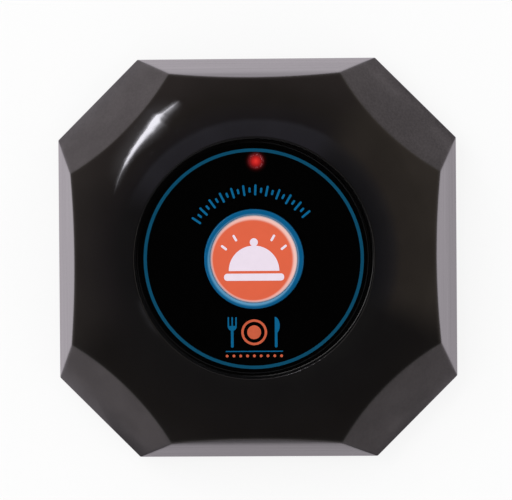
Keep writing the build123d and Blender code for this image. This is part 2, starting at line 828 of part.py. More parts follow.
# ================================================================ battery door
def battery_door():
    """Door with two hooked tabs at one end, a sprung finger at the other and a battery cradle."""
    length = door_length - 2 * door_clearance
    width = door_width - 2 * door_clearance
    door = block(length, width, door_thickness, 0, battery_y, floor_bottom)
    door = fillet(door.edges().filter_by(Axis.Z), door_corner - door_clearance)
    tab_x = -bay_length / 2 + tab_clearance + tab_wall / 2
    for side in (-1, 1):
        y = battery_y + side * tab_spread
        door += block(tab_wall, tab_width, tab_hook_bottom + tab_hook_height - door_top, tab_x, y, door_top)
        hook_x = tab_x - tab_wall / 2 - tab_reach / 2
        door += block(tab_reach, tab_width, tab_hook_height, hook_x, y, tab_hook_bottom)
    for side in (-1, 1):
        x = (battery_start + battery_end) / 2 + side * cradle_spread
        cradle = block(cradle_wall, 2 * cradle_half_width, cradle_height, x, battery_y, door_top)
        door += cradle - lying(battery_radius + cradle_gap, battery_length, battery_start)
    slot_x = length / 2 - latch_length / 2
    for side in (-1, 1):
        slot_y = battery_y + side * (latch_width + latch_slot) / 2
        door -= block(latch_length, latch_slot, door_thickness, slot_x, slot_y, floor_bottom)
    bump_x = length / 2 - bump_radius + latch_bump
    bump = Pos(bump_x, battery_y, floor_bottom + door_thickness / 2) * Rot(90, 0, 0)
    return door + bump * Cylinder(bump_radius, latch_width / 2)


pieces = {
    "top_cover": top_cover,
    "base_cover": base_cover,
    "case_seal": case_seal,
    "rubber_feet": rubber_feet,
    "case_screws": case_screws,
    "fascia_disc": fascia_disc,
    "fascia_tape": fascia_tape,
    "key_cap": key_cap,
    "key_face": key_face,
    "indicator_lens": indicator_lens,
    "status_led": status_led,
    "led_leads": led_leads,
    "led_spacer": led_spacer,
    "circuit_board": circuit_board,
    "board_screws": board_screws,
    "switch_body": switch_body,
    "switch_plate": switch_plate,
    "switch_dome": switch_dome,
    "switch_legs": switch_legs,
    "switch_actuator": switch_actuator,
    "encoder_chip": encoder_chip,
    "encoder_legs": encoder_legs,
    "resonator_can": resonator_can,
    "resonator_pins": resonator_pins,
    "transmitter_transistor": transmitter_transistor,
    "chip_resistors": chip_resistors,
    "chip_capacitors": chip_capacitors,
    "antenna_coil": antenna_coil,
    "battery_can": battery_can,
    "battery_sleeve": battery_sleeve,
    "contact_plus": lambda: contact(1),
    "contact_minus": lambda: contact(-1),
    "contact_spring": contact_spring,
    "battery_door": battery_door,
}

for name, make in pieces.items():
    export_step(make(), f"parts/{name}.step")
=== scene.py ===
"""Looks of a waiter call button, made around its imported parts.

Everything is in metres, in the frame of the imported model: +Z is up, +Y points away
from the user and the origin lies under the middle of the housing, on the table.
Finishes and the lamp's face are described in millimetres instead.
"""

import logging
import math
from abc import ABC, abstractmethod
from dataclasses import dataclass
from enum import Enum
from typing import Callable, Dict, List, Optional, Sequence, Tuple, Union

import bmesh
import bpy
from mathutils import Matrix, Vector


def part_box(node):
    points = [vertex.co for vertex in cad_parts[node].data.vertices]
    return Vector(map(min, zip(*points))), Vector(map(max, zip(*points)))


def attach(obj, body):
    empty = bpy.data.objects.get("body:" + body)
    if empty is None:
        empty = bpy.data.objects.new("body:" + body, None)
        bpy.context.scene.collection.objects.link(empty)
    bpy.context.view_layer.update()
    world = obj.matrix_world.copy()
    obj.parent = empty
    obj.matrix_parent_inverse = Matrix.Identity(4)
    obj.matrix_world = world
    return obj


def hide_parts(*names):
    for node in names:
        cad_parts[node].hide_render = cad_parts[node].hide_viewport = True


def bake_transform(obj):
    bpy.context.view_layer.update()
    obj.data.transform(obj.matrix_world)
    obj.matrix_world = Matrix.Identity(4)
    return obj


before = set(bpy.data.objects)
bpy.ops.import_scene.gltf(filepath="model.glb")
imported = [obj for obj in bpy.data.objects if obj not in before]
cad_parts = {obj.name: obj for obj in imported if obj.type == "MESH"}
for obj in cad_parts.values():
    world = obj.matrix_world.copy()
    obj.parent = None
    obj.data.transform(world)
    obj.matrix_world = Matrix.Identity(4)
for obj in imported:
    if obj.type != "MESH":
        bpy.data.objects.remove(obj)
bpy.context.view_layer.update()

LOG = logging.getLogger("call_button")
MM = 0.001

Point = Tuple[float, float]
Triple = Tuple[float, float, float]
Box = Tuple[Vector, Vector]


class Body(Enum):
    """The moving bodies that a new piece may ride on."""

    HOUSING = "housing"
    KEY = "call_key"
    STEM = "switch_stem"
    DOOR = "battery_door"


# ---------------------------------------------------------------- colours
@dataclass(frozen=True)
class Colour:
    """A colour as it looks on a screen, each part from 0 to 255."""

    red: float
    green: float
    blue: float

    @property
    def light(self) -> Tuple[float, float, float, float]:
        """The same colour in the linear light that shaders work in, with full alpha."""
        parts = [part / 255 for part in (self.red, self.green, self.blue)]
        return tuple(p / 12.92 if p <= 0.04045 else ((p + 0.055) / 1.055) ** 2.4 for p in parts) + (1.0,)

    def times(self, factor: float) -> "Colour":
        """A darker or lighter colour of the same hue."""
        return Colour(self.red * factor, self.green * factor, self.blue * factor)


WHITE = Colour(255, 255, 255)
BLACK = Colour(0, 0, 0)
Feed = Union["Signal", Colour, float, Sequence[float], None]
Feeds = Dict[Union[int, str], Feed]
Stops = Tuple[Tuple[float, Colour], ...]


def grey(level: float) -> Colour:
    """The neutral colour whose linear light has a level from 0 to 1."""
    return WHITE.times(12.92 * level if level <= 0.0031308 else 1.055 * level ** (1 / 2.4) - 0.055)


def stops(*rows: Tuple[float, float, float, float]) -> Stops:
    """A ramp's stops from rows of place, red, green and blue."""
    return tuple((place, Colour(red, green, blue)) for place, red, green, blue in rows)


# ---------------------------------------------------------------- shader building
def _operator(operation: str, swapped: bool = False) -> Callable[["Signal", Feed], "Signal"]:
    """A method that adds a Math node, with its two values swapped for a reflected operator."""

    def method(self: "Signal", other: Feed = None) -> "Signal":
        """The Math node's result."""
        first, second = (other, self) if swapped else (self, other)
        return self.kit.node("ShaderNodeMath", {"operation": operation}, {0: first, 1: second})

    return method


class Signal:
    """One output socket of a node tree. Arithmetic on it adds Math nodes."""

    def __init__(self, kit: "ShaderKit", socket: bpy.types.NodeSocket) -> None:
        self.kit = kit
        self.socket = socket

    __add__ = _operator("ADD")
    __radd__ = _operator("ADD", True)
    __sub__ = _operator("SUBTRACT")
    __rsub__ = _operator("SUBTRACT", True)
    __mul__ = _operator("MULTIPLY")
    __rmul__ = _operator("MULTIPLY", True)
    __truediv__ = _operator("DIVIDE")
    larger = _operator("MAXIMUM")
    smaller = _operator("MINIMUM")
    size = _operator("ABSOLUTE")


class ShaderKit:
    """Fills one node tree. Places are in millimetres, so that sizes read as real ones."""

    def __init__(self, tree: bpy.types.NodeTree) -> None:
        self.tree = tree
        self.tree.nodes.clear()

    def node(
        self, kind: str, settings: Optional[Dict[str, object]] = None, feeds: Optional[Feeds] = None,
        output: Union[int, str] = 0,
    ) -> Optional[Signal]:
        """Adds a node.

        Args:
            kind: The node's type.
            settings: Its own settings, set first. "stops" gives a ramp's stops.
            feeds: Values or signals for its input sockets, by number, name or identifier.
            output: The output socket that is wanted.

        Returns:
            That output as a signal, or None for a node that has no output.
        """
        node = self.tree.nodes.new(kind)
        for name, value in (settings or {}).items():
            if name == "stops":
                self._set_stops(node.color_ramp, value)
            else:
                setattr(node, name, value)
        for key, value in (feeds or {}).items():
            self._feed(self._socket(node.inputs, key), value)
        if not node.outputs:
            return None
        return Signal(self, self._socket(node.outputs, output))

    @staticmethod
    def _set_stops(ramp: bpy.types.ColorRamp, stops: Stops) -> None:
        """Sets a ramp's stops from places and colours."""
        while len(ramp.elements) < len(stops):
            ramp.elements.new(1.0)
        for element, (place, colour) in zip(ramp.elements, stops):
            element.position = place
            element.color = colour.light

    @staticmethod
    def _socket(sockets: bpy.types.bpy_prop_collection, key: Union[int, str]) -> bpy.types.NodeSocket:
        """Finds a socket by number, identifier or name."""
        if isinstance(key, str):
            for socket in sockets:
                if socket.identifier == key:
                    return socket
        return sockets[key]

    def _feed(self, socket: bpy.types.NodeSocket, value: Feed) -> None:
        """Links a signal to a socket, or sets a plain value on it."""
        if isinstance(value, Signal):
            self.tree.links.new(value.socket, socket)
        elif isinstance(value, Colour):
            socket.default_value = value.light
        elif value is not None:
            socket.default_value = value

    def vector_maths(self, operation: str, feeds: Feeds, output: str = "Vector") -> Signal:
        """Adds a Vector Math node."""
        return self.node("ShaderNodeVectorMath", {"operation": operation}, feeds, output)

    def scaled(self, vector: Feed, factor: Feed) -> Signal:
        """A vector or colour times a number."""
        return self.vector_maths("SCALE", {"Vector": vector, "Scale": factor})

    def place(self) -> Signal:
        """The surface point on the object, in millimetres."""
        return self.scaled(self.node("ShaderNodeTexCoord", output="Object"), 1 / MM)

    def split(self, vector: Signal) -> Tuple[Signal, Signal, Signal]:
        """The three parts of a vector."""
        return tuple(self.node("ShaderNodeSeparateXYZ", None, {0: vector}, axis) for axis in range(3))

    def upward(self) -> Signal:
        """How far the surface looks up: 1 on top, 0 on a wall, -1 underneath."""
        return self.split(self.node("ShaderNodeTexCoord", output="Normal"))[2]

    def centred(self, place: Signal, centre: Point) -> Signal:
        """A place measured from another centre in plan."""
        return self.vector_maths("SUBTRACT", {0: place, 1: (*centre, 0)})

    def level(self, vector: Signal) -> Signal:
        """A vector without its upright part."""
        return self.vector_maths("MULTIPLY", {0: vector, 1: (1, 1, 0)})

    def distance(self, place: Signal, centre: Point = (0, 0)) -> Signal:
        """Distance in plan from a centre."""
        return self.vector_maths("LENGTH", {0: self.level(self.centred(place, centre))}, "Value")

    def towards(self, vector: Signal, angle: float) -> Signal:
        """How far a point lies towards a compass angle, from -1 to 1. 0 is +X and 90 is +Y."""
        aim = (math.cos(math.radians(angle)), math.sin(math.radians(angle)), 0)
        unit = self.vector_maths("NORMALIZE", {0: self.level(vector)})
        return self.vector_maths("DOT_PRODUCT", {0: unit, 1: aim}, "Value")

    def noise(self, vector: Signal, scale: float, detail: float = 2.0) -> Signal:
        """Cloudy noise, mostly from 0.3 to 0.7."""
        return self.node("ShaderNodeTexNoise", None, {"Vector": vector, "Scale": scale, "Detail": detail})

    def streaks(self, vector: Signal, scales: Triple, detail: float = 3.0) -> Signal:
        """Noise drawn out along the axes that have the smaller scales."""
        spread = self.node("ShaderNodeMapping", None, {"Vector": vector, "Scale": scales})
        return self.noise(spread, 1.0, detail)

    def cells(self, scale: float, vector: Signal, **settings: str) -> Signal:
        """Cells scattered through space: the distance to their middles or edges."""
        feeds = {"Vector": vector, "Scale": scale}
        return self.node("ShaderNodeTexVoronoi", settings, feeds, "Distance")

    def ramp(self, value: Feed, start: float, end: float) -> Signal:
        """Turns smoothly from 0 at start to 1 at end, which may be the lower one."""
        feeds = {"Value": value, "From Min": start, "From Max": end}
        return self.node("ShaderNodeMapRange", {"interpolation_type": "SMOOTHSTEP"}, feeds)

    def step(self, value: Feed, edge: float, soft: float) -> Signal:
        """Turns from 0 to 1 across an edge, or from 1 to 0 where soft is below zero."""
        return self.ramp(value, edge - soft, edge + soft)

    def band(self, value: Signal, low: float, high: float, soft: float) -> Signal:
        """1 between low and high, with soft ends."""
        return self.step(value, low, soft) * self.step(value, high, -soft)

    def line(self, value: Signal, middle: float, half: float, soft: float) -> Signal:
        """1 within half a width of a middle, with soft ends."""
        return self.band(value, middle - half, middle + half, soft)

    def mix(self, factor: Feed, first: Feed, second: Feed) -> Signal:
        """A mix of two colours."""
        feeds = {"Factor_Float": factor, "A_Color": first, "B_Color": second}
        return self.node("ShaderNodeMix", {"data_type": "RGBA"}, feeds, "Result_Color")

    def shades(self, factor: Feed, colour: Colour, dark: float, pale: float) -> Signal:
        """A colour that varies between two multiples of itself."""
        return self.mix(factor, colour.times(dark), colour.times(pale))

    def fading(self, distance: Signal, stops: Stops) -> Signal:
        """A colour that changes with distance, from stops of millimetres and colours."""
        reach = stops[-1][0]
        shares = tuple((place / reach, colour) for place, colour in stops)
        return self.node("ShaderNodeValToRGB", {"stops": shares}, {0: distance * (1 / reach)})

    def crescent(self, inset: Signal, side: Signal, widths: Point, fade: Point, least: float) -> Signal:
        """A gleam along an edge, as wide as widths say and strongest where side is 1."""
        thin, wide = widths
        depth = inset / (thin + side * (wide - thin))
        return self.ramp(depth, *fade) * (least + side * (1 - least))

    def glow(self, colour: Feed, strength: Feed = 1.0) -> Signal:
        """A shader that gives off light."""
        return self.node("ShaderNodeEmission", None, {"Color": colour, "Strength": strength})

    def blend(self, factor: Feed, first: Signal, second: Signal) -> Signal:
        """A mix of two shaders."""
        return self.node("ShaderNodeMixShader", None, {0: factor, 1: first, 2: second})

    def ray(self, kind: str) -> Signal:
        """1 for one kind of ray, 0 for others."""
        return self.node("ShaderNodeLightPath", output=f"Is {kind} Ray")

    def soft_edges(self, radius: float, share: Feed) -> Signal:
        """A normal that rounds the piece's edges by a radius in millimetres, where share is 1."""
        plain = self.node("ShaderNodeNewGeometry", output="Normal")
        rounded = self.node("ShaderNodeBevel", {"samples": 6}, {"Radius": radius * MM})
        feeds = {"Factor_Float": share, "A_Vector": plain, "B_Vector": rounded}
        return self.node("ShaderNodeMix", {"data_type": "VECTOR"}, feeds, "Result_Vector")

    def bump(self, height: Signal, depth: float, under: Optional[Signal] = None) -> Signal:
        """A normal from a height. Depth is the relief, in millimetres, of a height of 1."""
        return self.node("ShaderNodeBump", None, {"Height": height, "Distance": depth * MM, "Normal": under})

    def hairlines(self, place: Signal, angles: Sequence[float], rarity: float) -> Signal:
        """Fine straight scratches: 1 on a scratch, 0 elsewhere.

        Args:
            place: The surface point in millimetres.
            angles: The directions of the scratches.
            rarity: From 0.6, many, to 0.75, few.

        Returns:
            The scratches' mask.
        """
        mask: Feed = 0.0
        for number, angle in enumerate(angles):
            turn = {"Vector": place, "Rotation": (0, 0, math.radians(angle))}
            turned = self.node("ShaderNodeMapping", None, turn)
            marks = self.streaks(turned, (0.03, 2.4 + 0.3 * number, 1.1), 4.0)
            mask = self.ramp(marks, rarity, rarity + 0.02) + mask
        return mask

    def finish(self, feeds: Dict[str, Feed]) -> None:
        """Ends a material in a Principled shader. Socket names have underscores for spaces."""
        named = {key.replace("_", " "): value for key, value in feeds.items()}
        shader = self.node("ShaderNodeBsdfPrincipled", None, named)
        self.node("ShaderNodeOutputMaterial", None, {"Surface": shader})


# ---------------------------------------------------------------- finishes
@dataclass(frozen=True)
class Finish(ABC):
    """What a surface is made of. Each kind says what feeds its shader."""

    name: str

    @abstractmethod
    def feeds(self, kit: ShaderKit, place: Signal) -> Dict[str, Feed]:
        """What goes into the shader's sockets."""

    def material(self) -> bpy.types.Material:
        """The finish as a material, made at its first use."""
        found = bpy.data.materials.get(self.name)
        if found is None:
            found = bpy.data.materials.new(self.name)
            found.use_nodes = True
            kit = ShaderKit(found.node_tree)
            kit.finish(self.feeds(kit, kit.place()))
        return found


@dataclass(frozen=True)
class PolishedShell(Finish):
    """Glossy black moulding: combed side facets, handled corner facets, and at the recess a lip painted
    lighter as if lit, with a painted glint along it.
    """

    colour: Colour
    painted_lip_light: Colour
    painted_glint: Colour
    lip_centre: Point
    lip_inner: float
    lip_outer: float
    rounded_radii: Point = (28.0, 31.0)
    rounded_heights: Point = (6.5, 8.5)
    thumbed_heights: Point = (7.4, 9.6)
    soiled_heights: Point = (7.6, 6.0)
    edge_radius: float = 1.3
    relief: float = 0.006

    def feeds(self, kit: ShaderKit, place: Signal) -> Dict[str, Feed]:
        """What goes into the shader's sockets."""
        height, out, up = kit.split(place)[2], kit.distance(place), kit.upward()
        steep, slanted = kit.ramp(up, 0.55, 0.42), kit.band(up, 0.5, 0.78, 0.05)
        cloud = kit.noise(place, 0.05)
        strokes = kit.streaks(place, (0.025, 0.025, 1.3))
        smudge = kit.ramp(kit.noise(place, 0.13, 4.0), 0.34, 0.66)
        grain = kit.ramp(kit.noise(place, 2.2, 3.0), 0.36, 0.64) * (kit.towards(place, 45.0) * 0.12 + 0.22)
        hairs = kit.hairlines(place, (15, 80, 140), 0.72)
        painted_lip_light, painted_glint, rim = self._recess(kit, place, out, kit.ramp(up, -0.3, 0.0))
        handled = smudge * 0.25 + grain + self._marks(kit, place, height)
        worn = steep * strokes * 0.42 + slanted * handled + rim
        rough = cloud * 0.03 + steep * strokes * 0.2 + slanted * smudge * 0.1 + hairs * 0.1 + rim * 0.25
        bumps = kit.noise(place, 0.5, 1.0) + hairs * -0.4 + slanted * grain * 0.6
        rounded = kit.ramp(out, *self.rounded_radii) * kit.ramp(height, *self.rounded_heights)
        # Painted light: the recess lip is painted lighter as if lit, and a painted glint lies over it on the
        # front right.
        paint = kit.mix(painted_lip_light, kit.shades(cloud, self.colour, 1.0, 1.4), self.painted_lip_light)
        return dict(
            Base_Color=kit.mix(painted_glint, paint, self.painted_glint),
            Roughness=rough + 0.02,
            IOR=1.5,
            Coat_Weight=(1.0 - worn).larger(0.0),
            Coat_Roughness=0.02,
            Normal=kit.bump(bumps, self.relief, kit.soft_edges(self.edge_radius, rounded)),
        )

    def _recess(self, kit: ShaderKit, place: Signal, out: Signal, facing: Signal) -> Tuple[Signal, ...]:
        """Masks for the recess's lip, painted lighter as if lit, the painted glint along it on the front
        right, and its rim.
        """
        inner, outer = self.lip_inner, self.lip_outer
        aside = kit.distance(place, self.lip_centre)
        front_right = kit.ramp(kit.towards(place, -45.0), 0.55, 0.95)
        # Painted light: the lip band is painted lighter where the recess floor and rounding would catch
        # light; the glint is a painted highlight line.
        painted_lip_light = kit.step(aside, inner, 0.05) * kit.ramp(out, outer, outer - 0.06) * facing
        painted_glint = kit.line(aside, inner, 0.06, 0.04) * front_right * facing
        rim = kit.step(aside, outer, -0.1) * kit.ramp(out, outer - 0.12, outer)
        return painted_lip_light, painted_glint, rim

    def _marks(self, kit: ShaderKit, place: Signal, height: Signal) -> Signal:
        """Marks on the corner facets: a band that thumbs polish and one soiled edge."""
        thumbed = kit.band(height, *self.thumbed_heights, 1.2) * kit.ramp(kit.noise(place, 0.09), 0.5, 0.62)
        soiled = kit.ramp(height, *self.soiled_heights) * kit.ramp(kit.towards(place, 40.0), 0.975, 0.992)
        return soiled * kit.ramp(kit.noise(place, 3.4, 1.0), 0.3, 0.6) * 0.55 - thumbed * 0.34


@dataclass(frozen=True)
class EtchedShell(Finish):
    """Moulding with the matt spark-eroded grain of an underside."""

    colour: Colour

    def feeds(self, kit: ShaderKit, place: Signal) -> Dict[str, Feed]:
        """What goes into the shader's sockets."""
        fine = kit.noise(place, 6.0, 3.0)
        return dict(
            Base_Color=kit.shades(fine * 0.6 + kit.noise(place, 0.12) * 0.4, self.colour, 0.75, 1.35),
            Roughness=0.44 + fine * 0.2,
            IOR=1.5,
            Normal=kit.bump(kit.cells(3.2, place) * 0.6 + fine * 0.4, 0.035),
        )


@dataclass(frozen=True)
class Rubber(Finish):
    """Soft black rubber with a dusty, mottled skin."""

    colour: Colour
    dust: Colour = Colour(96, 93, 88)

    def feeds(self, kit: ShaderKit, place: Signal) -> Dict[str, Feed]:
        """What goes into the shader's sockets."""
        skin = kit.noise(place, 2.5, 4.0)
        dusty = kit.ramp(kit.noise(place, 0.9, 5.0), 0.52, 0.72)
        return dict(
            Base_Color=kit.mix(dusty * 0.18, self.colour, self.dust),
            Roughness=0.72 + skin * 0.2,
            Sheen_Weight=0.15,
            Normal=kit.bump(skin, 0.03),
        )


@dataclass(frozen=True)
class PrintedFilm(Finish):
    """Black printed overlay with a painted highlight line near its edge, and the lamp's red haze round its
    window.
    """

    colour: Colour
    painted_edge_line: Colour
    painted_edge_centre: Point
    painted_edge_radius: float
    lamp: Point
    haze: Stops

    def feeds(self, kit: ShaderKit, place: Signal) -> Dict[str, Feed]:
        """What goes into the shader's sockets."""
        cloud = kit.noise(place, 0.08)
        # Painted highlight: a thin lighter line near the overlay's edge.
        painted_edge_line = kit.line(kit.distance(place, self.painted_edge_centre), self.painted_edge_radius, 0.06, 0.04)
        return dict(
            Base_Color=kit.mix(painted_edge_line, kit.shades(cloud, self.colour, 1.0, 1.6), self.painted_edge_line),
            Roughness=0.06 + cloud * 0.04,
            IOR=1.45,
            Emission_Color=kit.fading(kit.distance(place, self.lamp), self.haze),
            Emission_Strength=1.0,
            Normal=kit.bump(kit.noise(place, 5.0), 0.0006),
        )


@dataclass(frozen=True)
class AdhesiveTape(Finish):
    """Whitish tape with its fleece showing."""

    colour: Colour

    def feeds(self, kit: ShaderKit, place: Signal) -> Dict[str, Feed]:
        """What goes into the shader's sockets."""
        warp, weft = (kit.streaks(place, scales, 4.0) for scales in ((6.0, 0.8, 1.0), (0.8, 6.0, 1.0)))
        weave = warp * 0.5 + weft * 0.5
        return dict(
            Base_Color=kit.shades(weave, self.colour, 0.85, 1.0),
            Roughness=0.6 + weave * 0.2,
            Normal=kit.bump(weave, 0.02),
        )


@dataclass(frozen=True)
class Ink(Finish):
    """Screen-printed ink with a slight mottle."""

    colour: Colour
    mottle: float = 0.06

    def feeds(self, kit: ShaderKit, place: Signal) -> Dict[str, Feed]:
        """What goes into the shader's sockets."""
        mesh = kit.noise(place, 7.0)
        return dict(
            Base_Color=kit.shades(kit.noise(place, 0.6, 3.0), self.colour, 1 - self.mottle, 1 + self.mottle),
            Roughness=0.08 + mesh * 0.06,
            IOR=1.45,
            Normal=kit.bump(mesh, 0.0008),
        )


@dataclass(frozen=True)
class KeyRing(Finish):
    """Blue key moulding with a painted pale highlight along its inner edge, widest on one side."""

    colour: Colour
    glow: Colour
    painted_highlight_angle: float
    rim_inner: float
    widths: Point

    def feeds(self, kit: ShaderKit, place: Signal) -> Dict[str, Feed]:
        """What goes into the shader's sockets."""
        # Painted highlight: the inner edge is painted pale, widest towards the angle given.
        side = kit.ramp(kit.towards(place, self.painted_highlight_angle), -0.4, 1.0)
        glow = kit.crescent(kit.distance(place) - self.rim_inner, side, self.widths, (1.1, 0.3), 0.75)
        fine = kit.noise(place, 4.0)
        return dict(
            Base_Color=kit.mix(glow, kit.shades(kit.noise(place, 0.5), self.colour, 0.96, 1.04), self.glow),
            Roughness=0.12 + fine * 0.08,
            IOR=1.4,
            Normal=kit.bump(fine, 0.0015),
        )


@dataclass(frozen=True)
class KeyDisc(Finish):
    """Orange disc with a painted pale highlight inside its edge, widest on one side, and a painted pale line
    along its rim.
    """

    colour: Colour
    glow: Colour
    painted_rim_line: Colour
    painted_highlight_angle: float
    radius: float
    widths: Point
    rim: float = 0.16
    painted_rim_span: Point = (0.42, 0.08)

    def feeds(self, kit: ShaderKit, place: Signal) -> Dict[str, Feed]:
        """What goes into the shader's sockets."""
        out = kit.distance(place)
        # Painted highlights: a pale crescent inside the edge, widest on one side, and a pale line along the
        # rim.
        side = kit.ramp(kit.towards(place, self.painted_highlight_angle), -0.9, 0.9)
        edge = kit.crescent(self.radius - self.rim - out, side, self.widths, (1.25, 0.5), 0.55)
        painted_rim_line = kit.ramp(self.radius - out, *self.painted_rim_span)
        fine = kit.noise(place, 5.0)
        lit = kit.mix(edge, kit.shades(kit.noise(place, 0.35), self.colour, 0.98, 1.02), self.glow)
        return dict(
            Base_Color=kit.mix(painted_rim_line * 0.8, lit, self.painted_rim_line),
            Roughness=0.12 + fine * 0.08,
            IOR=1.45,
            Normal=kit.bump(fine, 0.0008),
        )


@dataclass(frozen=True)
class LampWindow(Finish):
    """Small window with the red lamp shining in its middle, and painted sparkles of light on its rim,
    brightest on one side.
    """

    centre: Point
    haze: Stops
    tint: Colour
    painted_sparkle: Colour
    radius: float
    ring_span: Point = (0.66, 0.84)

    def feeds(self, kit: ShaderKit, place: Signal) -> Dict[str, Feed]:
        """What goes into the shader's sockets."""
        place = kit.centred(place, self.centre)
        out = kit.distance(place)
        # Painted highlight: sparkling specks on the rim, brightest towards the upper right.
        specks = kit.ramp(kit.cells(3.0, place, voronoi_dimensions="2D"), 0.5, 0.05)
        rays = kit.streaks(place, (1.6, 1.6, 0.1), 4.0)
        ring = kit.band(out * (1 / self.radius), *self.ring_span, 0.12)
        bright = kit.ramp(kit.towards(place, 30.0), -1.6, 1.0)
        shine = kit.scaled(kit.fading(out, self.haze), 1.2 - rays * 0.4)
        return dict(
            Base_Color=self.tint,
            Roughness=0.1 + rays * 0.1,
            IOR=1.5,
            Emission_Color=kit.mix(specks * ring * bright * 0.5, shine, self.painted_sparkle),
            Emission_Strength=1.0,
            Normal=kit.bump(rays, 0.02),
        )


@dataclass(frozen=True)
class LampResin(Finish):
    """Tinted clear resin of the lamp's body, brighter at its tip."""

    colour: Colour
    tip_from: float
    tip_to: float

    def feeds(self, kit: ShaderKit, place: Signal) -> Dict[str, Feed]:
        """What goes into the shader's sockets."""
        flow = kit.noise(place, 0.8)
        tip = kit.ramp(kit.split(place)[2], self.tip_from, self.tip_to)
        return dict(
            Base_Color=kit.shades(flow, self.colour, 0.85, 1.0),
            Roughness=0.08 + flow * 0.06,
            IOR=1.53,
            Emission_Color=kit.mix(tip, BLACK, self.colour),
            Emission_Strength=1.0,
            Normal=kit.bump(flow, 0.01),
        )


@dataclass(frozen=True)
class Metal(Finish):
    """Bare or plated metal with drawn lines and a little tarnish."""

    colour: Colour
    tarnish: Colour
    roughness: float
    drawn: Triple = (3.0, 3.0, 3.0)
    relief: float = 0.004

    def feeds(self, kit: ShaderKit, place: Signal) -> Dict[str, Feed]:
        """What goes into the shader's sockets."""
        lines = kit.streaks(place, self.drawn)
        spots = kit.ramp(kit.noise(place, 0.7, 5.0), 0.5, 0.75)
        return dict(
            Base_Color=kit.mix(spots * 0.6 + lines * 0.15, self.colour, self.tarnish),
            Metallic=1.0,
            Roughness=self.roughness + lines * 0.14 + spots * 0.12,
            Normal=kit.bump(lines, self.relief),
        )


@dataclass(frozen=True)
class Resin(Finish):
    """Moulded compound of a small component: chips, switch, spacer."""

    colour: Colour
    roughness: float = 0.5
    relief: float = 0.02

    def feeds(self, kit: ShaderKit, place: Signal) -> Dict[str, Feed]:
        """What goes into the shader's sockets."""
        grain = kit.noise(place, 9.0, 3.0)
        return dict(
            Base_Color=kit.shades(grain * 0.5 + kit.noise(place, 0.8, 3.0) * 0.5, self.colour, 0.82, 1.18),
            Roughness=self.roughness + grain * 0.15,
            Normal=kit.bump(grain, self.relief),
        )


@dataclass(frozen=True)
class ChipCeramic(Finish):
    """Small ceramic parts with tinned ends."""

    colour: Colour
    tin: Colour
    middles: Tuple[Point, ...]
    end_from: float = 0.65
    half_width: float = 0.4

    def feeds(self, kit: ShaderKit, place: Signal) -> Dict[str, Feed]:
        """What goes into the shader's sockets."""
        along, across, _ = kit.split(place)
        half = self.half_width
        ends: Feed = 0.0
        for x, y in self.middles:
            reach = (along - x).size()
            near = kit.ramp(reach, self.end_from + 2 * half, self.end_from + half)
            row = kit.ramp((across - y).size(), 2 * half, 1.5 * half)
            ends = near * kit.step(reach, self.end_from, 0.02) * row + ends
        grain = kit.noise(place, 8.0, 3.0)
        return dict(
            Base_Color=kit.mix(ends, kit.shades(grain, self.colour, 0.85, 1.15), self.tin),
            Metallic=ends,
            Roughness=0.45 - ends * 0.15 + grain * 0.1,
            Normal=kit.bump(grain, 0.012),
        )


@dataclass(frozen=True)
class Laminate(Finish):
    """Circuit board: green mask over copper tracks, with tinned pads round its pins."""

    mask: Colour
    track: Colour
    tin: Colour
    pads: Tuple[Point, ...]
    pad_radius: float = 0.95

    def feeds(self, kit: ShaderKit, place: Signal) -> Dict[str, Feed]:
        """What goes into the shader's sockets."""
        net = {"Vector": place, "Scale": 0.28, "Randomness": 0.55}
        edges = {"feature": "DISTANCE_TO_EDGE", "voronoi_dimensions": "2D"}
        tracks = kit.band(kit.node("ShaderNodeTexVoronoi", edges, net, "Distance"), 0.05, 0.12, 0.012)
        pads: Feed = 0.0
        for pad in self.pads:
            pads = kit.step(kit.distance(place, pad), self.pad_radius, -0.04) + pads
        flat = kit.ramp(kit.upward().size(), 0.6, 0.9)
        tinned = pads * flat
        weave = kit.streaks(place, (2.2, 2.2, 0.4))
        green = kit.mix(tracks * flat, kit.shades(weave, self.mask, 0.88, 1.1), self.track)
        return dict(
            Base_Color=kit.mix(tinned, green, self.tin),
            Metallic=tinned,
            Roughness=0.32 + weave * 0.12,
            Normal=kit.bump(tracks * 0.6 + weave * 0.2 + pads * 0.5, 0.03),
        )


@dataclass(frozen=True)
class CellJacket(Finish):
    """Glossy plastic jacket of the battery, with a gold band at one end and a seam."""

    body: Colour
    gold: Colour
    gold_from: float
    seam_height: float
    stripe_span: Point = (-0.9, -0.6)

    def feeds(self, kit: ShaderKit, place: Signal) -> Dict[str, Feed]:
        """What goes into the shader's sockets."""
        along, _, height = kit.split(place)
        inset = along - self.gold_from
        cap, stripe = kit.step(inset, 0.0, 0.05), kit.band(inset, *self.stripe_span, 0.05)
        seam = kit.line(height, self.seam_height, 0.12, 0.04)
        creases = kit.streaks(place, (0.25, 1.6, 1.6))
        return dict(
            Base_Color=kit.mix(stripe, kit.mix(cap, self.body, self.gold), self.gold),
            Roughness=0.22 + creases * 0.12,
            Coat_Weight=0.5,
            Coat_Roughness=0.08,
            Normal=kit.bump(creases + seam * 0.8, 0.03),
        )


# ---------------------------------------------------------------- the finishes in use
FACE_BLUE = Colour(10, 98, 142)
RING_BLUE = Colour(12, 74, 102)
MARK_ORANGE = Colour(205, 96, 66)
TIN = Colour(204, 204, 200)
LAMP_HAZE = stops(
    (0.0, 226, 50, 44), (0.6, 190, 34, 33), (1.25, 112, 18, 20), (1.7, 54, 8, 9), (2.0, 18, 1, 1),
    (2.5, 0, 0, 0),
)
